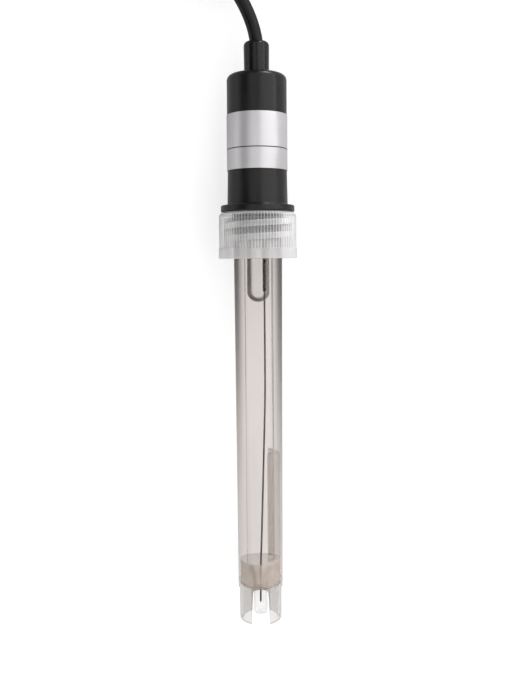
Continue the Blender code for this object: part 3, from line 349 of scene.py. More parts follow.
def edge_of(tree, low, high):
    """0 where a surface is seen square on, rising to 1 where it is seen along."""
    facing = add(tree, "LayerWeight", Blend=0.5).outputs["Facing"]
    return ranged(tree, facing, low, high)


def along_axis(tree, low, high):
    """0 to 1 along the electrode, between two places measured up from the flange."""
    return ranged(tree, placed(tree, "Y"), (FLANGE_Y + low) * MM, (FLANGE_Y + high) * MM)


def plain(*values, **named):
    """A finish's material alone."""
    return finish(*values, **named)[0]


def finishes():
    """Every finish, by what wears it."""
    made = {}
    made["cap"] = plain(
        "satin_black_plastic", (0.0040, 0.0040, 0.0038), (0.0065, 0.0065, 0.006), 0.33, 0.08,
        grain=2600, depth=0.3, patches=160, specks=0.08, Specular_IOR_Level=0.37,
    )
    made["rubber"] = plain(
        "black_rubber", (0.0045, 0.0045, 0.0045), (0.008, 0.008, 0.008), 0.22, 0.06, grain=3000,
        depth=0.16, patches=200, specks=0.15, Specular_IOR_Level=0.34,
    )
    made["sleeve"] = plain(
        "thin_dark_sleeve", (0.008, 0.008, 0.008), (0.02, 0.02, 0.02), 0.3, 0.08, grain=6000,
        depth=0.3, patches=400, Alpha=0.40,
    )
    made["jacket"] = plain(
        "black_cable_jacket", (0.0045, 0.0045, 0.0047), (0.008, 0.008, 0.0082), 0.30, 0.08,
        grain=1500, depth=0.35, patches=260, specks=0.15, Specular_IOR_Level=0.24,
    )
    made["tie"] = plain(
        "black_band", (0.02, 0.02, 0.022), (0.05, 0.05, 0.05), 0.55, 0.1, stretch=(1, 8, 1),
        grain=2600, depth=0.5, patches=300, specks=0.4,
    )
    made["foil"] = label_foil()
    made["clear"] = clear_plastic()
    made["guard"] = guard_plastic()
    made["glass"] = stem_glass()
    # Painted shade: the solution's surface shows as a faint grey line where it is seen along.
    made["solution"] = skin_of_glass("inner_solution", (0.45, 0.42, 0.40), 0.70, 0.98, 0.0, 0.15)
    made["bulb"] = bulb_glass()
    made["milky"] = milky_plastic()
    made["thread"] = skin_of_glass("milky_thread", (0.95, 0.945, 0.94), 0.10, 0.50, 0.30, 1.0)
    made["silver"] = plain(
        "tarnished_silver", (0.10, 0.093, 0.088), (0.22, 0.2, 0.19), 0.4, 0.2, grain=9000,
        depth=0.3, patches=900, Metallic=0.7,
    )
    made["thin_silver"] = plain(
        "silver_seen_through_gel", (0.30, 0.28, 0.265), (0.4, 0.38, 0.36), 0.4, 0.2, grain=9000,
        depth=0.3, patches=900, Metallic=0.3, Alpha=0.4,
    )
    made["chloride"] = plain(
        "silver_chloride", (0.02, 0.018, 0.018), (0.05, 0.04, 0.045), 0.6, 0.1, grain=9000,
        depth=0.6, patches=1500,
    )
    made["brown"] = porous_plug()
    made["wick"] = plain(
        "brown_wick", (0.52, 0.46, 0.41), (0.62, 0.55, 0.49), 0.7, 0.1, stretch=(1, 0.25, 1),
        grain=3600, depth=0.5, patches=500, Alpha=0.23,
    )
    made["ring"] = plain(
        "soft_ring", (0.03, 0.028, 0.028), (0.07, 0.065, 0.06), 0.45, 0.1, grain=5000, depth=0.2
    )
    made["nickel"] = plain(
        "nickel_plate", (0.62, 0.60, 0.565), (0.50, 0.475, 0.44), 0.22, 0.12, stretch=(1, 0.2, 1),
        grain=7000, depth=0.06, patches=260, specks=0.1, Metallic=1.0,
    )
    made["spring"] = plain(
        "spring_steel", (0.42, 0.41, 0.40), (0.28, 0.27, 0.26), 0.3, 0.12, grain=6000, depth=0.1,
        Metallic=1.0,
    )
    made["gasket"] = plain(
        "red_gasket", (0.30, 0.035, 0.02), (0.36, 0.07, 0.05), 0.5, 0.1, grain=6000, depth=0.2
    )
    made["ptfe"] = plain(
        "white_insulator", (0.80, 0.80, 0.79), (0.70, 0.69, 0.66), 0.4, 0.1, grain=5000, depth=0.08
    )
    made["gold"] = plain(
        "gold_pin", (0.83, 0.60, 0.24), (0.70, 0.48, 0.20), 0.22, 0.1, grain=9000, depth=0.08,
        Metallic=1.0,
    )
    made["copper"] = plain(
        "copper_braid", (0.60, 0.30, 0.18), (0.36, 0.2, 0.13), 0.35, 0.1, stretch=(1, 3, 1),
        grain=5200, depth=0.7, Metallic=1.0,
    )
    made["solder"] = plain(
        "solder", (0.56, 0.56, 0.58), (0.4, 0.4, 0.42), 0.3, 0.15, grain=2500, depth=0.4,
        Metallic=1.0,
    )
    made["core"] = plain(
        "core_insulation", (0.78, 0.78, 0.76), (0.70, 0.69, 0.66), 0.45, 0.1, grain=4000, depth=0.1
    )
    return made


def label_foil():
    """Satin silver foil with a thin ruled line round it; the line is paint, so it isn't metal."""
    made, tree, shader, wear = finish(
        "satin_foil", (0.60, 0.585, 0.60), (0.635, 0.62, 0.635), 0.38, 0.05, stretch=(1, 6, 1),
        grain=5200, depth=0.05, patches=60,
    )
    ruled = (FLANGE_Y + 14.93) * MM
    off = maths(tree, "ABSOLUTE", maths(tree, "SUBTRACT", placed(tree, "Y"), ruled))
    line = ranged(tree, off, 0.10 * MM, 0.15 * MM, 1.0, 0.0)
    colour = mixed(tree, line, wear["Colour"], (0.02, 0.02, 0.022, 1))
    tree.links.new(colour, shader.inputs["Base Color"])
    tree.links.new(ranged(tree, line, 0, 1, 0.6, 0.0), shader.inputs["Metallic"])
    return made


def from_axis(tree, low, high):
    """0 to 1 outwards from the electrode's axis."""
    place = add(tree, "TexCoord").outputs["Object"]
    flat = add(tree, "VectorMath", {"operation": "MULTIPLY_ADD"}, _0=place, _1=(1, 0, 1),
               _2=(0, 0, -AXIS_Z * MM)).outputs[0]
    return ranged(tree, length_of(tree, flat), low * MM, high * MM)


def clear_plastic():
    """Clear moulded plastic full of clear gel. Its colour carries painted shade: the outer wall is
    darker where it is seen along, most near the cap, standing for the dark surroundings and the
    black seal reflected and bent in it. A faint band near the cap and a step just inside the edge
    are painted darker too. Its flat lower end, inside the guard, has no tint."""
    made, tree, shader, wear = finish(
        "clear_moulded_plastic", (0.748, 0.703, 0.677), (0.736, 0.690, 0.663), 0.02, 0.02,
        grain=700, depth=0.0, patches=60, IOR=1.10, Transmission_Weight=1.0, Coat_Weight=0.08,
        Coat_Roughness=0.08,
    )
    # Painted shade: the wall is darker where it is seen along, more so towards the cap.
    facing = add(tree, "LayerWeight", Blend=0.5).outputs["Facing"]
    edge_shade_by_tip = ranged(tree, facing, 0.15, 0.94, 0.0, 0.45, "LINEAR")
    edge_shade_by_cap = ranged(tree, facing, 0.11, 0.50, 0.0, 0.96)
    painted_shade = between(tree, along_axis(tree, -86, -4), edge_shade_by_tip, edge_shade_by_cap)
    # Painted shade: a faint darker band towards the cap and a darker step just inside the edge.
    shade = maths(tree, "ADD", ranged(tree, along_axis(tree, -34, -8), 0, 1, 0.0, 0.04),
                  ranged(tree, facing, 0.10, 0.20, 0.0, 0.13))
    painted_shade = maths(tree, "MAXIMUM", painted_shade, shade)
    colour = mixed(tree, painted_shade, wear["Colour"], (0.08, 0.072, 0.068, 1))
    within = along_axis(tree, -93.99, -93.98)
    tree.links.new(mixed(tree, within, (1, 1, 1, 1), colour), shader.inputs["Base Color"])
    return made


def guard_plastic():
    """The same plastic in the thin prongs, where it bends the view less. The bore is paler than
    the outside. Painted shade darkens the outer wall where it is seen along, the slots' sides and
    the rim at the tip, standing for the dark surroundings reflected and bent at its edges, and the
    face against the tube's end has no tint."""
    made, tree, shader, wear = finish(
        "clear_prong_plastic", (0.58, 0.563, 0.55), (0.56, 0.543, 0.53), 0.02, 0.02, grain=700,
        depth=0.0, patches=60, IOR=1.05, Transmission_Weight=1.0, Coat_Weight=0.08,
        Coat_Roughness=0.08,
    )
    # Painted shade: the outer wall is darker where it is seen along.
    painted_edge_shade = mixed(tree, edge_of(tree, 0.5, 0.95), wear["Colour"], (0.55, 0.54, 0.53, 1))
    bore = from_axis(tree, 4.85, 5.0)
    colour = mixed(tree, bore, (0.89, 0.88, 0.873, 1), painted_edge_shade)
    # Painted shade: the slots' sides and the rim at the tip are drawn darker.
    across = maths(tree, "ABSOLUTE", placed(tree, "X"))
    side = ranged(tree, across, 2.34 * MM, 2.42 * MM, 0.9, 0.0)
    rim = along_axis(tree, -103.45, -103.65)
    colour = mixed(tree, maths(tree, "MAXIMUM", side, rim), colour, (0.58, 0.565, 0.555, 1))
    below = along_axis(tree, -94.03, -94.02)
    tree.links.new(mixed(tree, below, colour, (1, 1, 1, 1)), shader.inputs["Base Color"])
    return made


def skin_of_glass(name, colour, low, high, clear, full):
    """A thin clear wall: nearly unseen square on, and drawn as a line where it is seen along."""
    made, tree, shader, _ = finish(
        name, colour, colour, 0.06, 0.03, grain=900, depth=0.03, patches=80
    )
    edge = edge_of(tree, low, high)
    tree.links.new(ranged(tree, edge, 0, 1, clear, full, "LINEAR"), shader.inputs["Alpha"])
    return made


def bulb_glass():
    """The bulb's thin glass. Its near wall hardly shows, so that the wire's tip stands out before
    its far wall, which is pale, with a greyer outline of painted shade where it is seen along."""
    made, tree, shader, wear = finish(
        "bulb_glass", (0.86, 0.85, 0.85), (0.84, 0.83, 0.83), 0.06, 0.03, grain=900, depth=0.03,
        patches=80,
    )
    # Painted shade: a greyer outline where the glass is seen along.
    edge = edge_of(tree, 0.35, 0.95)
    colour = mixed(tree, edge, wear["Colour"], (0.55, 0.54, 0.545, 1))
    tree.links.new(colour, shader.inputs["Base Color"])
    near, far = ranged(tree, edge, 0, 1, 0.04, 0.6), ranged(tree, edge, 0, 1, 0.38, 0.7)
    behind = add(tree, "NewGeometry").outputs["Backfacing"]
    tree.links.new(between(tree, behind, near, far), shader.inputs["Alpha"])
    return made


def porous_plug():
    """The porous brown plug, which lets some of the wire show; its top is thin and soft."""
    made, tree, shader, _ = finish(
        "porous_brown_plug", (0.60, 0.525, 0.46), (0.72, 0.64, 0.565), 0.7, 0.1, grain=2800,
        depth=0.4, patches=420,
    )
    behind = add(tree, "NewGeometry").outputs["Backfacing"]
    side = ranged(tree, behind, 0, 1, 0.68, 0.24, "LINEAR")
    lost = maths(tree, "MULTIPLY", along_axis(tree, -88.3, -87.92), 0.8)
    top = maths(tree, "SUBTRACT", 1.0, lost)
    tree.links.new(maths(tree, "MULTIPLY", side, top), shader.inputs["Alpha"])
    return made


def stem_glass():
    """The stem's glass, a dark skin whose alpha paints shade. Its outer wall is a fine dark line
    that fades towards the tip, and the wall round the air above the solution is a broad grey band
    of painted shade where it is seen along, darker on its -X side and higher up, standing for the
    dark surroundings bent by the air column."""
    made, tree, shader, _ = finish(
        "stem_glass", (0.13, 0.12, 0.112), (0.13, 0.12, 0.112), 0.08, 0.03, grain=900, depth=0.03,
        patches=80,
    )
    outside = from_axis(tree, 2.7, 2.8)
    fading = ranged(tree, along_axis(tree, -62, -25), 0, 1, 0.35, 1.0)
    line = maths(tree, "MULTIPLY", edge_of(tree, 0.60, 0.89), fading)
    # Painted shade: the band is darker on the -X side and higher up.
    painted_side_shade = ranged(tree, placed(tree, "X"), -1.5 * MM, 1.5 * MM, 0.56, 0.36)
    band = maths(tree, "MULTIPLY", edge_of(tree, 0.10, 0.36), painted_side_shade)
    painted_height_shade = ranged(tree, along_axis(tree, -45, -15), 0, 1, 1.0, 1.45, "LINEAR")
    band = maths(tree, "MULTIPLY", band, painted_height_shade)
    see = maths(tree, "ADD", between(tree, outside, band, line), 0.002)
    tree.links.new(see, shader.inputs["Alpha"])
    return made


def milky_plastic():
    """Milky moulded plastic, thin enough for what is behind it to show: most where it is seen
    square on, between the ribs, high on its side and through its inner wall."""
    made, tree, shader, wear = finish(
        "milky_plastic", (0.82, 0.81, 0.815), (0.78, 0.77, 0.77), 0.30, 0.06, grain=1500,
        depth=0.08, patches=140, Coat_Weight=0.2, Coat_Roughness=0.2,
    )
    edge = edge_of(tree, 0.08, 0.52)
    square_on = ranged(tree, along_axis(tree, -11.4, -1.0), 0, 1, 0.42, 0.13, "LINEAR")
    see = ranged(tree, edge, 0, 1, square_on, 0.72, "LINEAR")
    outside = from_axis(tree, 8.9, 9.1)
    see = maths(tree, "MULTIPLY", see, ranged(tree, outside, 0, 1, 0.62, 1.0))
    see = maths(tree, "ADD", see, ranged(tree, wear["Patch"], 0, 1, -0.01, 0.01, "LINEAR"))
    rib = maths(tree, "COSINE", maths(tree, "MULTIPLY", placed(tree, "X", "UV"), RIBS * math.tau))
    rib = maths(tree, "MULTIPLY", rib, ranged(tree, edge, 0, 1, 0.085, 0.0))
    ribbed = maths(tree, "MULTIPLY", outside, along_axis(tree, RIBS_END - 0.05, RIBS_END + 0.05))
    rib = maths(tree, "MULTIPLY", rib, ribbed)
    tree.links.new(maths(tree, "ADD", see, rib, clamp=True), shader.inputs["Alpha"])
    return made


FINISHES = finishes()


def dress(obj, wears, *nodes, slot=None, body="electrode"):
    """Gives a piece its finish and its body, and hides the CAD nodes that it stands for. Its slot
    argument is not used."""
    obj.data.materials.clear()
    obj.data.materials.append(FINISHES[wears])
    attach(obj, body)
    if nodes:
        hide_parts(*nodes)
    return obj


# ---------------------------------------------------------------- camera and cable

def camera():
    """The photograph's view: from above, close, and leaning a little towards the tip. Its focal
    length is 800 pixels of the photograph's 679 in height."""
    sensor, focal, height = 36, 800, 679
    lean, roll = math.radians(-5.68), math.radians(-0.46)
    made = bpy.data.objects.new("camera", bpy.data.cameras.new("camera"))
    made.data.sensor_width, made.data.lens = sensor, focal * sensor / height
    made.data.clip_start, made.data.clip_end = 0.01, 10
    made.location = (0.2 * MM, 19.8 * MM, (AXIS_Z + 199.2) * MM)
    turn = Euler((lean, 0, 0)).to_matrix() @ Matrix.Rotation(roll, 3, "Z")
    made.rotation_euler = turn.to_euler()
    bpy.context.scene.collection.objects.link(made)
    bpy.context.scene.camera = made


def bridged(start, heading, end, end_heading, count):
    """A smooth line between two places with the headings it has there (cubic Hermite)."""
    t = np.linspace(0, 1, count)[:, None]
    ends = (2 * t**3 - 3 * t**2 + 1) * start + (3 * t**2 - 2 * t**3) * end
    return ends + (t**3 - 2 * t**2 + t) * heading + (t**3 - t**2) * end_heading


def hank_line(turns):
    """Round the hank by turns: along one side, round the far end, back and round the near end. The
    inner turns lie one under another down to the bench, then the outer ones rise round them, and
    all are drawn in at the waist by a full cosine along each side."""
    near, far = HANK_NEAR + HALF, HANK_FAR - HALF
    run = (far - near) / (2 * (far - near + math.pi * (INNER + OUTER) / 2))
    bend = 0.5 - run
    t = np.clip((turns - INNER_TURNS) / CROSSING, 0, 1)
    radius = INNER + (OUTER - INNER) * t * t * (3 - 2 * t)
    level = (
        CORD / 2
        + FALL * np.clip(INNER_TURNS - turns, 0, None)
        + PITCH * np.clip(turns - INNER_TURNS - CROSSING, 0, None)
    )
    half_turn = turns % 0.5
    side = np.where(turns % 1 < 0.5, 1, -1)
    along = np.clip(half_turn / run, 0, 1)
    angle = np.pi * np.clip((half_turn - run) / bend, 0, 1)
    pulled = DRAWN_IN * (1 - np.cos(math.tau * along)) / 2
    x = -side * (radius * np.cos(angle) - pulled)
    y = (near + far) / 2 + side * ((far - near) * (along - 0.5) + radius * np.sin(angle))
    return np.stack([HANK_X + x, y, level], 1), run


def cable_line():
    """The cable's centre line: the bend that the photograph shows, a parabola that leans to the
    left, then up on to the hank, round it, and down to the boot."""
    run = hank_line(np.zeros(1))[1]
    first, last = -0.040, 6 + 0.9999 * run
    hank = hank_line(np.linspace(first, last, int(64 * (last - first))))[0]
    lean, bend, lift = -0.13, -0.024, 0.008
    s = np.linspace(0, 9.8, 8)
    seen = EXIT + np.stack([lean * s + bend * s * s, s, lift * s * s], 1)
    slope = np.array([lean + 2 * bend * s[-1], 1, 2 * lift * s[-1]])
    slope /= np.linalg.norm(slope)
    onward, away = hank[1] - hank[0], hank[-1] - hank[-2]
    onward, away = onward / np.linalg.norm(onward), away / np.linalg.norm(away)
    span = np.linalg.norm(hank[0] - seen[-1])
    lead = bridged(seen[-1], slope * span, hank[0], onward * span, 8)
    span = np.linalg.norm(PLUG_PLACE - hank[-1])
    rising = (away + [0, 0, 0.12]) * 1.4
    tail = bridged(hank[-1], rising * span, PLUG_PLACE, np.array([0, 1.1 * span, 0]), 24)
    return np.concatenate([seen, lead[1:], hank[1:], tail[1:]])


def cable():
    """The whole cable, a round cord along its line. The line is returned too, in metres."""
    line = cable_line()
    obj = drawn("cable", line, CORD / 2, 24)
    dress(obj, "jacket", "cable_lead", "cable_hank", "cable_tail")
    return obj, line * MM


def hank_tie():
    """A band round the hank's waist: a flat strip with eased edges carried round a rounded
    rectangle that holds the cords."""
    half, low, high, thick, wide = HALF - DRAWN_IN + 1.05, 0.02, 14.55, 0.5, 4.0
    loop = rounded([(half, low, 2.1), (half, high, 2.4), (-half, high, 2.4), (-half, low, 2.1)], 10)
    inner = rounded([(half - thick, low + thick, 1.6), (half - thick, high - thick, 1.9),
                     (thick - half, high - thick, 1.9), (thick - half, low + thick, 1.6)], 10)
    middle = (HANK_NEAR + HANK_FAR) / 2
    rows = []
    for share, y in ((0.5, -1.0), (0.92, -1.0), (1.0, -0.94), (1.0, 0.94), (0.92, 1.0), (0.5, 1.0),
                     (0.08, 1.0), (0.0, 0.94), (0.0, -0.94), (0.08, -1.0)):
        x, z = (inner + (loop - inner) * share).T
        rows.append(np.stack([HANK_X + x, middle + y * wide / 2 + 0 * x, z], 1))
    obj = woven("hank_band", (np.array(rows), True, True), sharp=50)
    return dress(obj, "tie", "hank_tie")


# ---------------------------------------------------------------- the electrode

def cap_shell():
    """The black cap, turned: shoulder, plain side, flange, socket for the tube and the cavity."""
    profile = rounded([
        (3.2, 32.75), (7.27, 32.75, 1.40), (7.24, 10.0), (7.40, 2.0, 0.5), (7.50, 1.55, 0.5),
        (9.06, 1.55, 0.35), (9.06, 0.0, 0.2), (6.12, 0.0, 0.1), (6.12, 14.95), (5.2, 14.95),
        (5.2, 30.35), (3.2, 30.35),
    ], 7)
    return dress(turned("cap", profile), "cap", "cap_shell")


def label_band():
    """The foil band, a thin sleeve on the cap with turned-in edges."""
    low, high = 9.9, 23.15
    profile = rounded([(7.39, high), (7.40, high, 0.03), (7.40, low, 0.03), (7.39, low),
                       (7.30, low), (7.30, high)], 3)
    return dress(turned("foil_band", profile), "foil", "label_band")


def strain_relief():
    """The soft stub that the cable comes out of, with its flange inside the cap."""
    profile = rounded([
        (1.66, TOP), (3.10, TOP, 1.0), (3.02, 33.6), (2.97, 32.9, 0.1), (2.97, 32.80),
        (2.4, 32.80), (2.4, 30.30), (4.15, 30.30), (4.15, 29.10), (1.66, 29.10),
    ], 8)
    return dress(turned("relief_stub", profile, sides=96), "rubber", "strain_relief")


def slot_half(depth):
    """Half the guard slot's width at a depth: half an ellipse at its top, then straight sides that
    open to the tip."""
    over = np.clip((SPRING - depth) / RISE, 0, 1)
    opened = ARCH_HALF + (TIP_HALF - ARCH_HALF) * np.clip((depth - SPRING) / (TIP - SPRING), 0, 1)
    return np.where(depth < SPRING, ARCH_HALF * np.sqrt(1 - over**2), opened)


def body_tube():
    """The clear tube with the gel that fills it, turned: solid but for the hollow by the seal."""
    profile = rounded([
        (0, -94.0), (5.664, -94.0), (6.0, 0), (6.0, 14.7, 0.15), (5.35, 14.7), (5.35, -7.2),
        (0, -7.2),
    ], 4, closed=False)
    return dress(turned("clear_body", profile, closed=False), "clear", "body_tube",
                 "reference_gel")


def guard():
    """The tube's end and its two prongs. Each half is a grid of depth by angle, from the front
    slot's edge round to the back slot's; above the slots the halves meet. Outside and bore step in
    at the shoulder, and a quarter ellipse eases them at the tip. Walls close the slots' sides, the
    tip and the top."""
    apex, easing = SPRING - RISE, 0.5
    shoulder = [95.0, 95.04, 95.09, 95.15]
    depth = np.concatenate([
        [94.02, 94.08], apex + (SPRING - apex) * (1 - np.cos(np.linspace(0, math.pi / 2, 12))),
        shoulder, np.linspace(95.4, TIP - 0.6, 14),
        TIP - easing + easing * np.sin(np.linspace(0.12, math.pi / 2, 7)),
    ])
    outer = np.interp(depth, [94.0, *shoulder, 105], [5.664, 5.66, 5.62, 5.45, 5.36, 5.36])
    inner = np.interp(depth, [94.0, shoulder[0], shoulder[-1], 105], [4.70, 4.70, 4.40, 4.40])
    eased = 0.35 * (1 - np.sqrt(1 - np.clip((depth - TIP + easing) / easing, 0, 1) ** 2))
    outer, inner = outer - eased, inner + 0.6 * eased
    half = np.where(depth < apex + 1e-9, 0, slot_half(depth))
    grids, turn = [], np.linspace(0, 1, 57)
    for side in (1, -1):
        walls = []
        for radius in (outer, inner):
            first = np.arcsin(half / radius)[:, None]
            a = first + (math.pi - 2 * first) * turn
            walls.append(np.stack([
                side * radius[:, None] * np.sin(a), FLANGE_Y - depth[:, None] + 0 * a,
                AXIS_Z + radius[:, None] * np.cos(a),
            ], -1))
        walls = np.array(walls)
        sides = [walls[:, :, end].swapaxes(0, 1)[depth > apex - 1e-6] for end in (0, -1)]
        grids += [(wall, False, False) for wall in (*walls, *sides, walls[:, 0], walls[:, -1])]
    return dress(woven("clear_guard", *grids, sharp=40), "guard", slot="clear")


def inner_glass():
    """The stem and its neck, with the air above the solution, then the bulb, and the solution with
    its hollow surface: turned skins, thin and clear."""
    surface = -19.6
    stem = rounded([(0, 19.0), (3.10, 19.0, 0.3), (3.10, -89.5, 2.5), (1.72, -93.0, 2.5),
                    (1.72, -95.3, 0.05), (0, -95.3)], 8, closed=False)
    air = np.concatenate([[(0, 18.5), (2.52, 18.5)], arc((0, surface), 2.52, 0, -90, 16)])
    skins = [(around(profile, ELECTRODE_PLACE, 64), False, True) for profile in (stem, air)]
    dress(woven("stem_tube", *skins), "glass", "glass_stem")
    bulb = rounded([(0, -95.35), (1.72, -95.35, 0.1), (1.72, -102.6, 0.9), (0, -102.6)], 9,
                   closed=False)
    dress(turned("bulb_cup", bulb, sides=64, closed=False), "bulb", "glass_bulb", slot="glass")
    hollow = arc((0, surface), 2.44, -90, 0, 14)
    solution = np.concatenate([hollow, rounded([
        (2.44, surface), (2.55, surface), (2.55, -89.5, 2.0), (1.27, -93.0, 2.0),
        (1.27, -101.9, 0.6), (0, -101.9)], 8, closed=False)])
    dress(turned("stem_solution", solution, sides=64, closed=False), "solution",
          "inner_solution")


def inner_leads():
    """The sensing wire in its sleeve, its black tip, the reference wire, the brown plug and the
    black seal."""
    aside = 1.38
    wire = upright([(aside, 0, 21), (aside, 0, -30), (aside, 0, -43), (1.33, 0, -47),
                    (1.12, 0, -55), (0.3, 0, -83), (0.08, 0, -89), (0, 0, -91.5), (0, 0, -93.9)])
    dress(drawn("sensing_lead", wire, 0.21), "silver", "sensing_wire")
    tip = upright([(0, 0, -94.2), (0, 0, -96), (0, 0, -98), (0, 0, -99.4), (0, 0, -99.7)])
    dress(drawn("black_tip", tip, [0.2, 0.24, 0.24, 0.24, 0.12]), "chloride", "chloride_tip")
    sleeve = rounded([(0.31, 20.0), (0.42, 20.0, 0.03), (0.42, -19.5, 0.03), (0.31, -19.5)], 3)
    dress(turned("lead_sleeve", sleeve, ELECTRODE_PLACE + [aside, 0, 0], 24), "sleeve",
          "wire_sleeve", slot="rubber")
    line = upright([(3.35, -2.0, along) for along in (19, 0, -30, -59)])
    dress(drawn("reference_lead", line, 0.10), "thin_silver", "reference_wire", slot="silver")
    plug = rounded([(0, -87.9), (4.6, -87.9, 0.25), (4.6, -94.7, 0.15), (0, -94.7)], 6,
                   closed=False)
    dress(turned("porous_plug", plug, sides=96, closed=False), "brown", "junction_plug")
    seal = rounded([(5.25, 14.4, 0.2), (5.25, -6.9, 0.2), (3.2, -6.9), (3.2, 14.4)], 5)
    dress(turned("black_seal", seal, sides=96), "rubber", "stem_seal")


def reference_wick():
    """The wick beside the stem: part of a ring, cut off straight on the stem's side, carried down
    to the plug. Its top is cut on a slant and drawn in a little."""
    inner, outer, straight = 3.32, 4.68, 1.75
    reach = math.acos(straight / inner)
    turn = np.linspace(-reach, reach, 25)
    wider = math.acos(straight / outer) / reach
    section = np.concatenate([
        np.stack([outer * np.cos(turn * wider), outer * np.sin(turn * wider)], 1),
        np.stack([inner * np.cos(turn[::-1]), inner * np.sin(turn[::-1])], 1),
    ])
    share = np.array([0, 0.02, 0.05, 0.3, 0.6, 0.9, 1.0])
    drawn_in = np.array([0.93, 0.985, 1, 1, 1, 1, 1])
    middle = section.mean(0)
    rows = []
    for part, size in zip(share, drawn_in):
        flat = middle + (section - middle) * size
        high = -60.2 - 0.25 * (flat[:, 0] - 3.3) * (1 - part)
        rows.append(np.stack([flat[:, 0], FLANGE_Y + high + (-87.65 - high) * part,
                              AXIS_Z + flat[:, 1]], 1))
    obj = woven("wick", (capped(np.array(rows)), False, True), sharp=45)
    return dress(obj, "wick", "reference_wick", slot="brown")


def screw_cap():
    """The bottle's cap. Its outline (radius, along) is turned, and where the outline is marked as
    ribbed the radius also follows even waves round the axis, flat on their crests. Inside, a
    thread ridge winds down the bore and tapers off at both ends."""
    wide, bore, groove, pitch = 9.55, 8.35, 0.14, 3.15
    corners = rounded([
        (6.35, -0.15, 0.15), (8.80, -0.15, 0.12), (wide, -0.90, 0.12), (wide, RIBS_END),
        (9.70, RIBS_END, 0.05), (9.70, -11.40, 0.25), (bore, -11.40, 0.15), (bore, -1.55, 0.3),
        (6.35, -1.55, 0.1),
    ], 5)
    side = np.stack([np.full(24, wide), np.linspace(-0.95, RIBS_END + 0.05, 24)], 1)
    spot = int(np.argmin(np.abs(corners - (wide, RIBS_END)).sum(1)))
    profile = np.concatenate([corners[:spot], side, corners[spot:]])
    radius, along = profile.T
    ribbed = (radius > 9.0) & (along > RIBS_END) & (radius < 9.6)
    obj = fluted("screw_cap_shell", profile, ELECTRODE_PLACE, RIBS * 12, groove * ribbed,
                 lambda a: np.clip(0.5 + 0.95 * np.cos(RIBS * a), 0, 1), sharp=60)
    dress(obj, "milky", "bottle_cap", body="screw_cap")
    turn = np.linspace(-0.6 * math.pi, 3.4 * math.pi, 260)
    radius = bore + 0.01
    path = np.stack([radius * np.cos(turn), FLANGE_Y - 2.95 - pitch * (turn / math.tau - 0.25),
                     AXIS_Z + radius * np.sin(turn)], 1)
    out = path - [0, 0, AXIS_Z]
    out[:, 1] = 0
    out /= np.linalg.norm(out, axis=1, keepdims=True)
    size = np.clip(np.minimum(turn - turn[0], turn[-1] - turn) / 0.5, 0.05, 1)[:, None, None]
    ridge = rounded([(0, -0.78, 0.05), (-0.60, -0.30, 0.12), (-0.60, 0.30, 0.12),
                     (0, 0.78, 0.05)], 4)
    points = path[:, None] + size * (
        ridge[None, :, :1] * out[:, None] + ridge[None, :, 1:] * np.array([0, 1, 0])
    )
    thread = woven("screw_cap_thread", (capped(points), False, True), sharp=45)
    dress(thread, "thread", slot="milky", body="screw_cap")
    ring = arc((6.98, -2.6), 0.88, 0, 360, 25)[:-1]
    dress(turned("grip_ring", ring, sides=96), "ring", "sealing_ring", body="seal_slider")


# ---------------------------------------------------------------- the plug

def boot():
    """The ribbed rubber boot over the ferrule: a cone whose radius is cut in by the upper part of a
    sine wave, five and a half times along it."""
    long, waves = 14.5, 5.5
    along = np.linspace(14.4, 0.4, 90)
    share = along / long
    groove = 0.28 * np.clip(np.sin(share * math.tau * waves - 1.2) * 2.2, 0, 1)
    profile = np.concatenate([
        [(3.0, long), (3.85, long)], np.stack([2.65 + 1.45 * share - groove, along], 1),
        [(2.45, 0.05), (2.2, 0.0), (1.7, 0.0), (1.7, 8.7), (3.0, 8.8)],
    ])
    return dress(turned("boot", profile, PLUG_PLACE, 64), "rubber", "plug_boot")


def plug_body():
    """The turned body: hub with a chamfered rear, neck, shoulder and thin nose; then its insulator,
    pin and gasket. From hub to shoulder there is room for the sleeve's flange and its travel, the
    two washers and the gaps between them."""
    hub, rear, front = 21.0, 14.55, 33.0
    flange, thrust, travel, spring, gaps = 1.0, 0.4, 0.8, 0.5, 0.2
    shoulder = hub + flange + thrust + travel + spring + gaps
    nose = shoulder + 0.9
    profile = rounded([
        (4.05, front, 0.12), (4.05, nose), (4.85, nose, 0.1), (4.85, shoulder, 0.1),
        (4.25, shoulder), (4.25, hub), (5.9, hub, 0.15), (5.9, rear + 1.2, 0.2), (4.7, rear, 0.2),
        (2.05, rear), (2.05, 9.1, 0.1), (0.9, 9.1), (0.9, rear + 0.5), (2.3, rear + 0.5),
        (2.3, shoulder), (3.5, shoulder), (3.5, front, 0.12),
    ], 4)
    shell = dress(turned("plug_shell", profile, PLUG_PLACE, 96), "nickel", "plug_body")
    bush = rounded([(2.1, 28.8, 0.15), (2.1, 15.4), (0.79, 15.4), (0.79, 28.8, 0.1)], 4)
    dress(turned("plug_bush", bush, PLUG_PLACE, 64), "ptfe", "plug_insulator")
    pin = rounded([(0, 9.4), (0.68, 9.4), (0.68, 31.1, 0.3), (0.3, 31.65, 0.2), (0, 31.7)], 6,
                  closed=False)
    dress(turned("plug_pin", pin, PLUG_PLACE, 32, closed=False), "gold", "centre_pin")
    gasket = rounded([(4.10, nose + 0.05, 0.2), (4.80, nose + 0.05, 0.25),
                      (4.80, nose + 0.75, 0.25), (4.10, nose + 0.75, 0.2)], 5)
    dress(turned("plug_seal", gasket, PLUG_PLACE, 64), "gasket", "plug_gasket")
    return shell


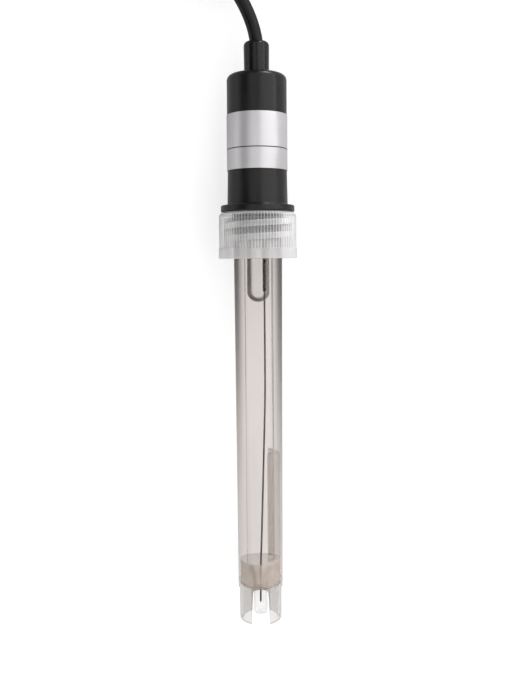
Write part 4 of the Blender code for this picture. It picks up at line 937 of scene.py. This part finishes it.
def bayonet_sleeve():
    """The turning sleeve: a lathe outline whose grip carries fine straight knurls (the radius
    follows the size of a sine wave), less two curved slots, each carried round the wall as it
    falls back from the front by a power of its share."""
    flange, rear, front, wide = 21.05, 16.05, 33.65, 7.2
    knurls, groove = 60, 0.16
    outline = rounded([
        (6.95, front, 0.15), (wide, front - 0.35, 0.1), (wide, front - 2.4, 0.15),
        (6.75, front - 2.85, 0.2), (6.75, rear + 6.8, 0.2), (wide, rear + 6.4, 0.15),
        (wide, rear + 0.4, 0.1), (6.85, rear, 0.1), (6.05, rear, 0.1), (6.05, flange),
        (4.35, flange), (4.35, flange + 1.0), (4.95, flange + 1.0), (4.95, front, 0.12),
    ], 4)
    grip = np.stack([np.full(16, wide), np.linspace(rear + 6.1, rear + 0.7, 16)], 1)
    spot = int(np.flatnonzero((outline[:, 0] > 7.1) & (outline[:, 1] < rear + 0.6))[0])
    outline = np.concatenate([outline[:spot], grip, outline[spot:]])
    radius, along = outline.T
    marked = (radius > 7.15) & (along < rear + 6.15) & (along > rear + 0.6)
    sleeve = fluted("turning_sleeve", outline, PLUG_PLACE, knurls * 8, groove * marked,
                    lambda a: np.abs(np.sin(knurls / 2 * a)), sharp=40)
    cutters = []
    for start in (0, math.pi):
        share = np.linspace(0, 1, 28)
        turn = start + math.radians(95) * share
        along = front - 1.05 - 6.6 * share**0.8
        turn, along = np.r_[start, turn], np.r_[front + 2.1, along]
        path = PLUG_PLACE + np.stack([6.1 * np.cos(turn), along, -6.1 * np.sin(turn)], 1)
        cutters.append(slot_cutter(path, 1.05))
    sleeve = cut(sleeve, *cutters)
    return dress(sleeve, "nickel", "bayonet_sleeve", body="lock_sleeve")


def slot_cutter(path, radius):
    """A slot's volume: a line widened both ways across the wall's surface, from inside the wall
    to outside it, with a round end."""
    centre = PLUG_PLACE * [1, 0, 1]
    out = path * [1, 0, 1] - centre
    out /= np.linalg.norm(out, axis=1, keepdims=True)
    ahead = np.gradient(path, axis=0)
    ahead -= (ahead * out).sum(1, keepdims=True) * out
    ahead /= np.linalg.norm(ahead, axis=1, keepdims=True)
    across = np.cross(ahead, out)
    end = arc((0, 0), radius, 90, -90, 15)
    lines = [path[:-1] + across[:-1] * radius]
    lines.append(path[-1] + end[:, :1] * ahead[-1] + end[:, 1:] * across[-1])
    lines.append((path[:-1] - across[:-1] * radius)[::-1])
    outline = np.concatenate(lines)
    out = outline * [1, 0, 1] - centre
    size = np.linalg.norm(out, axis=1, keepdims=True)
    low, high = outline + out / size * (3.9 - size), outline + out / size * (8.6 - size)
    ends = [(fan(line), False, False) for line in (low, high)]
    return woven("slot_cutter", (np.array([low, high]), False, True), *ends)


def fan(outline):
    """A ladder of faces that closes an outline, each point joined to the one across from it."""
    half = len(outline) // 2
    return np.stack([outline[:half], outline[::-1][:half]])


# ---------------------------------------------------------------- floor, light and the making

def stage():
    """A plain white floor: a pale grey that glows where the camera sees it, also through glass, so
    that with the lamps it is white and keeps the object's shadow. Away from the lamps the glow
    rises to white. In gloss it glows faintly."""
    reach, below = 2.5, -0.00002
    mesh = bpy.data.meshes.new("floor")
    corners = [(x, y, below) for y in (-reach, reach) for x in (-reach, reach)]
    mesh.from_pydata(corners, [], [(0, 1, 3, 2)])
    floor = bpy.data.objects.new("floor", mesh)
    bpy.context.scene.collection.objects.link(floor)
    made = bpy.data.materials.new("floor_white")
    made.use_nodes = True
    tree = made.node_tree
    shader = tree.nodes["Principled BSDF"]
    shader.inputs["Base Color"].default_value = (0.55, 0.55, 0.55, 1)
    shader.inputs["Roughness"].default_value = 0.9
    shader.inputs["Specular IOR Level"].default_value = 0.1
    shader.inputs["Emission Color"].default_value = (1, 1, 1, 1)
    path = add(tree, "LightPath").outputs
    seen = maths(tree, "MAXIMUM", path["Is Camera Ray"], path["Is Transmission Ray"])
    away = length_of(tree, add(tree, "TexCoord").outputs["Object"])
    seen = maths(tree, "MULTIPLY", seen, ranged(tree, away, 0.3, 1.1, 0.58, 1.0))
    gloss = maths(tree, "MULTIPLY", path["Is Glossy Ray"], 0.07)
    tree.links.new(maths(tree, "MAXIMUM", seen, gloss), shader.inputs["Emission Strength"])
    mesh.materials.append(made)
    world = bpy.data.worlds.new("surround")
    bpy.context.scene.world = world
    world.use_nodes = True
    tree = world.node_tree
    path = add(tree, "LightPath").outputs
    shine = tree.nodes["Background"]
    shine.inputs["Color"].default_value = (1, 1, 1, 1)
    room = ranged(tree, placed(tree, "Z", "Generated"), 0.05, 0.6, 0.34, 0.08)
    strength = between(tree, path["Is Camera Ray"], room, 1.0)
    tree.links.new(strength, shine.inputs["Strength"])


def lamp(name, place, aim, size, power):
    """A soft rectangular lamp at place, turned to aim."""
    made = bpy.data.objects.new(name, bpy.data.lights.new(name, "AREA"))
    made.data.shape, made.data.size, made.data.size_y = "RECTANGLE", size[0], size[1]
    made.data.energy = power
    made.location = place
    made.rotation_euler = (Vector(place) - Vector(aim)).to_track_quat("Z", "Y").to_euler()
    bpy.context.scene.collection.objects.link(made)


def lights():
    """The lamps: a broad key from the right, and weaker ones above, in front, low and behind."""
    lamp("key", (0.47, 0.10, 0.52), (0, 0.10, 0.01), (1.6, 0.84), 6.4)
    lamp("overhead", (-0.18, 0.10, 0.70), (0, 0.10, 0.01), (1.5, 0.44), 1.7)
    lamp("soft_front", (-0.30, -0.80, 0.50), (0, 0, 0.01), (0.9, 0.4), 4.5)
    lamp("low_strip", (0.85, 0.60, 0.24), (0, 0.08, 0.01), (1.5, 0.04), 1.6)
    lamp("low_left", (-0.80, 0.0, 0.16), (0, 0, 0.01), (1.2, 0.3), 0.9)
    lamp("back_right", (0.44, 0.95, 0.26), (0, 0.08, 0.01), (0.25, 0.20), 3.6)


def carried_nodes():
    """CAD nodes whose shape is right: they take finer finishes."""
    finer = {
        "cable_jacket_end": "jacket", "cable_plug_end": "jacket", "core_wire": "core",
        "core_joint": "solder", "reference_joint": "solder", "braid_pigtail": "copper",
        "crimp_ferrule": "nickel", "thrust_washer": "nickel", "spring_washer": "spring",
    }
    for name, wears in finer.items():
        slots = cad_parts[name].data.materials
        for number in range(len(slots)):
            slots[number] = FINISHES[wears]
        if len(slots) == 0:
            slots.append(FINISHES[wears])


def main():
    """Builds everything."""
    bpy.context.scene.view_settings.view_transform = "Standard"
    camera()
    line_piece, line = cable()
    tie = hank_tie()
    cap_shell()
    label_band()
    strain_relief()
    body_tube()
    guard()
    inner_glass()
    inner_leads()
    reference_wick()
    screw_cap()
    plug = [boot(), plug_body(), bayonet_sleeve()]
    carried_nodes()
    stage()
    lights()


main()
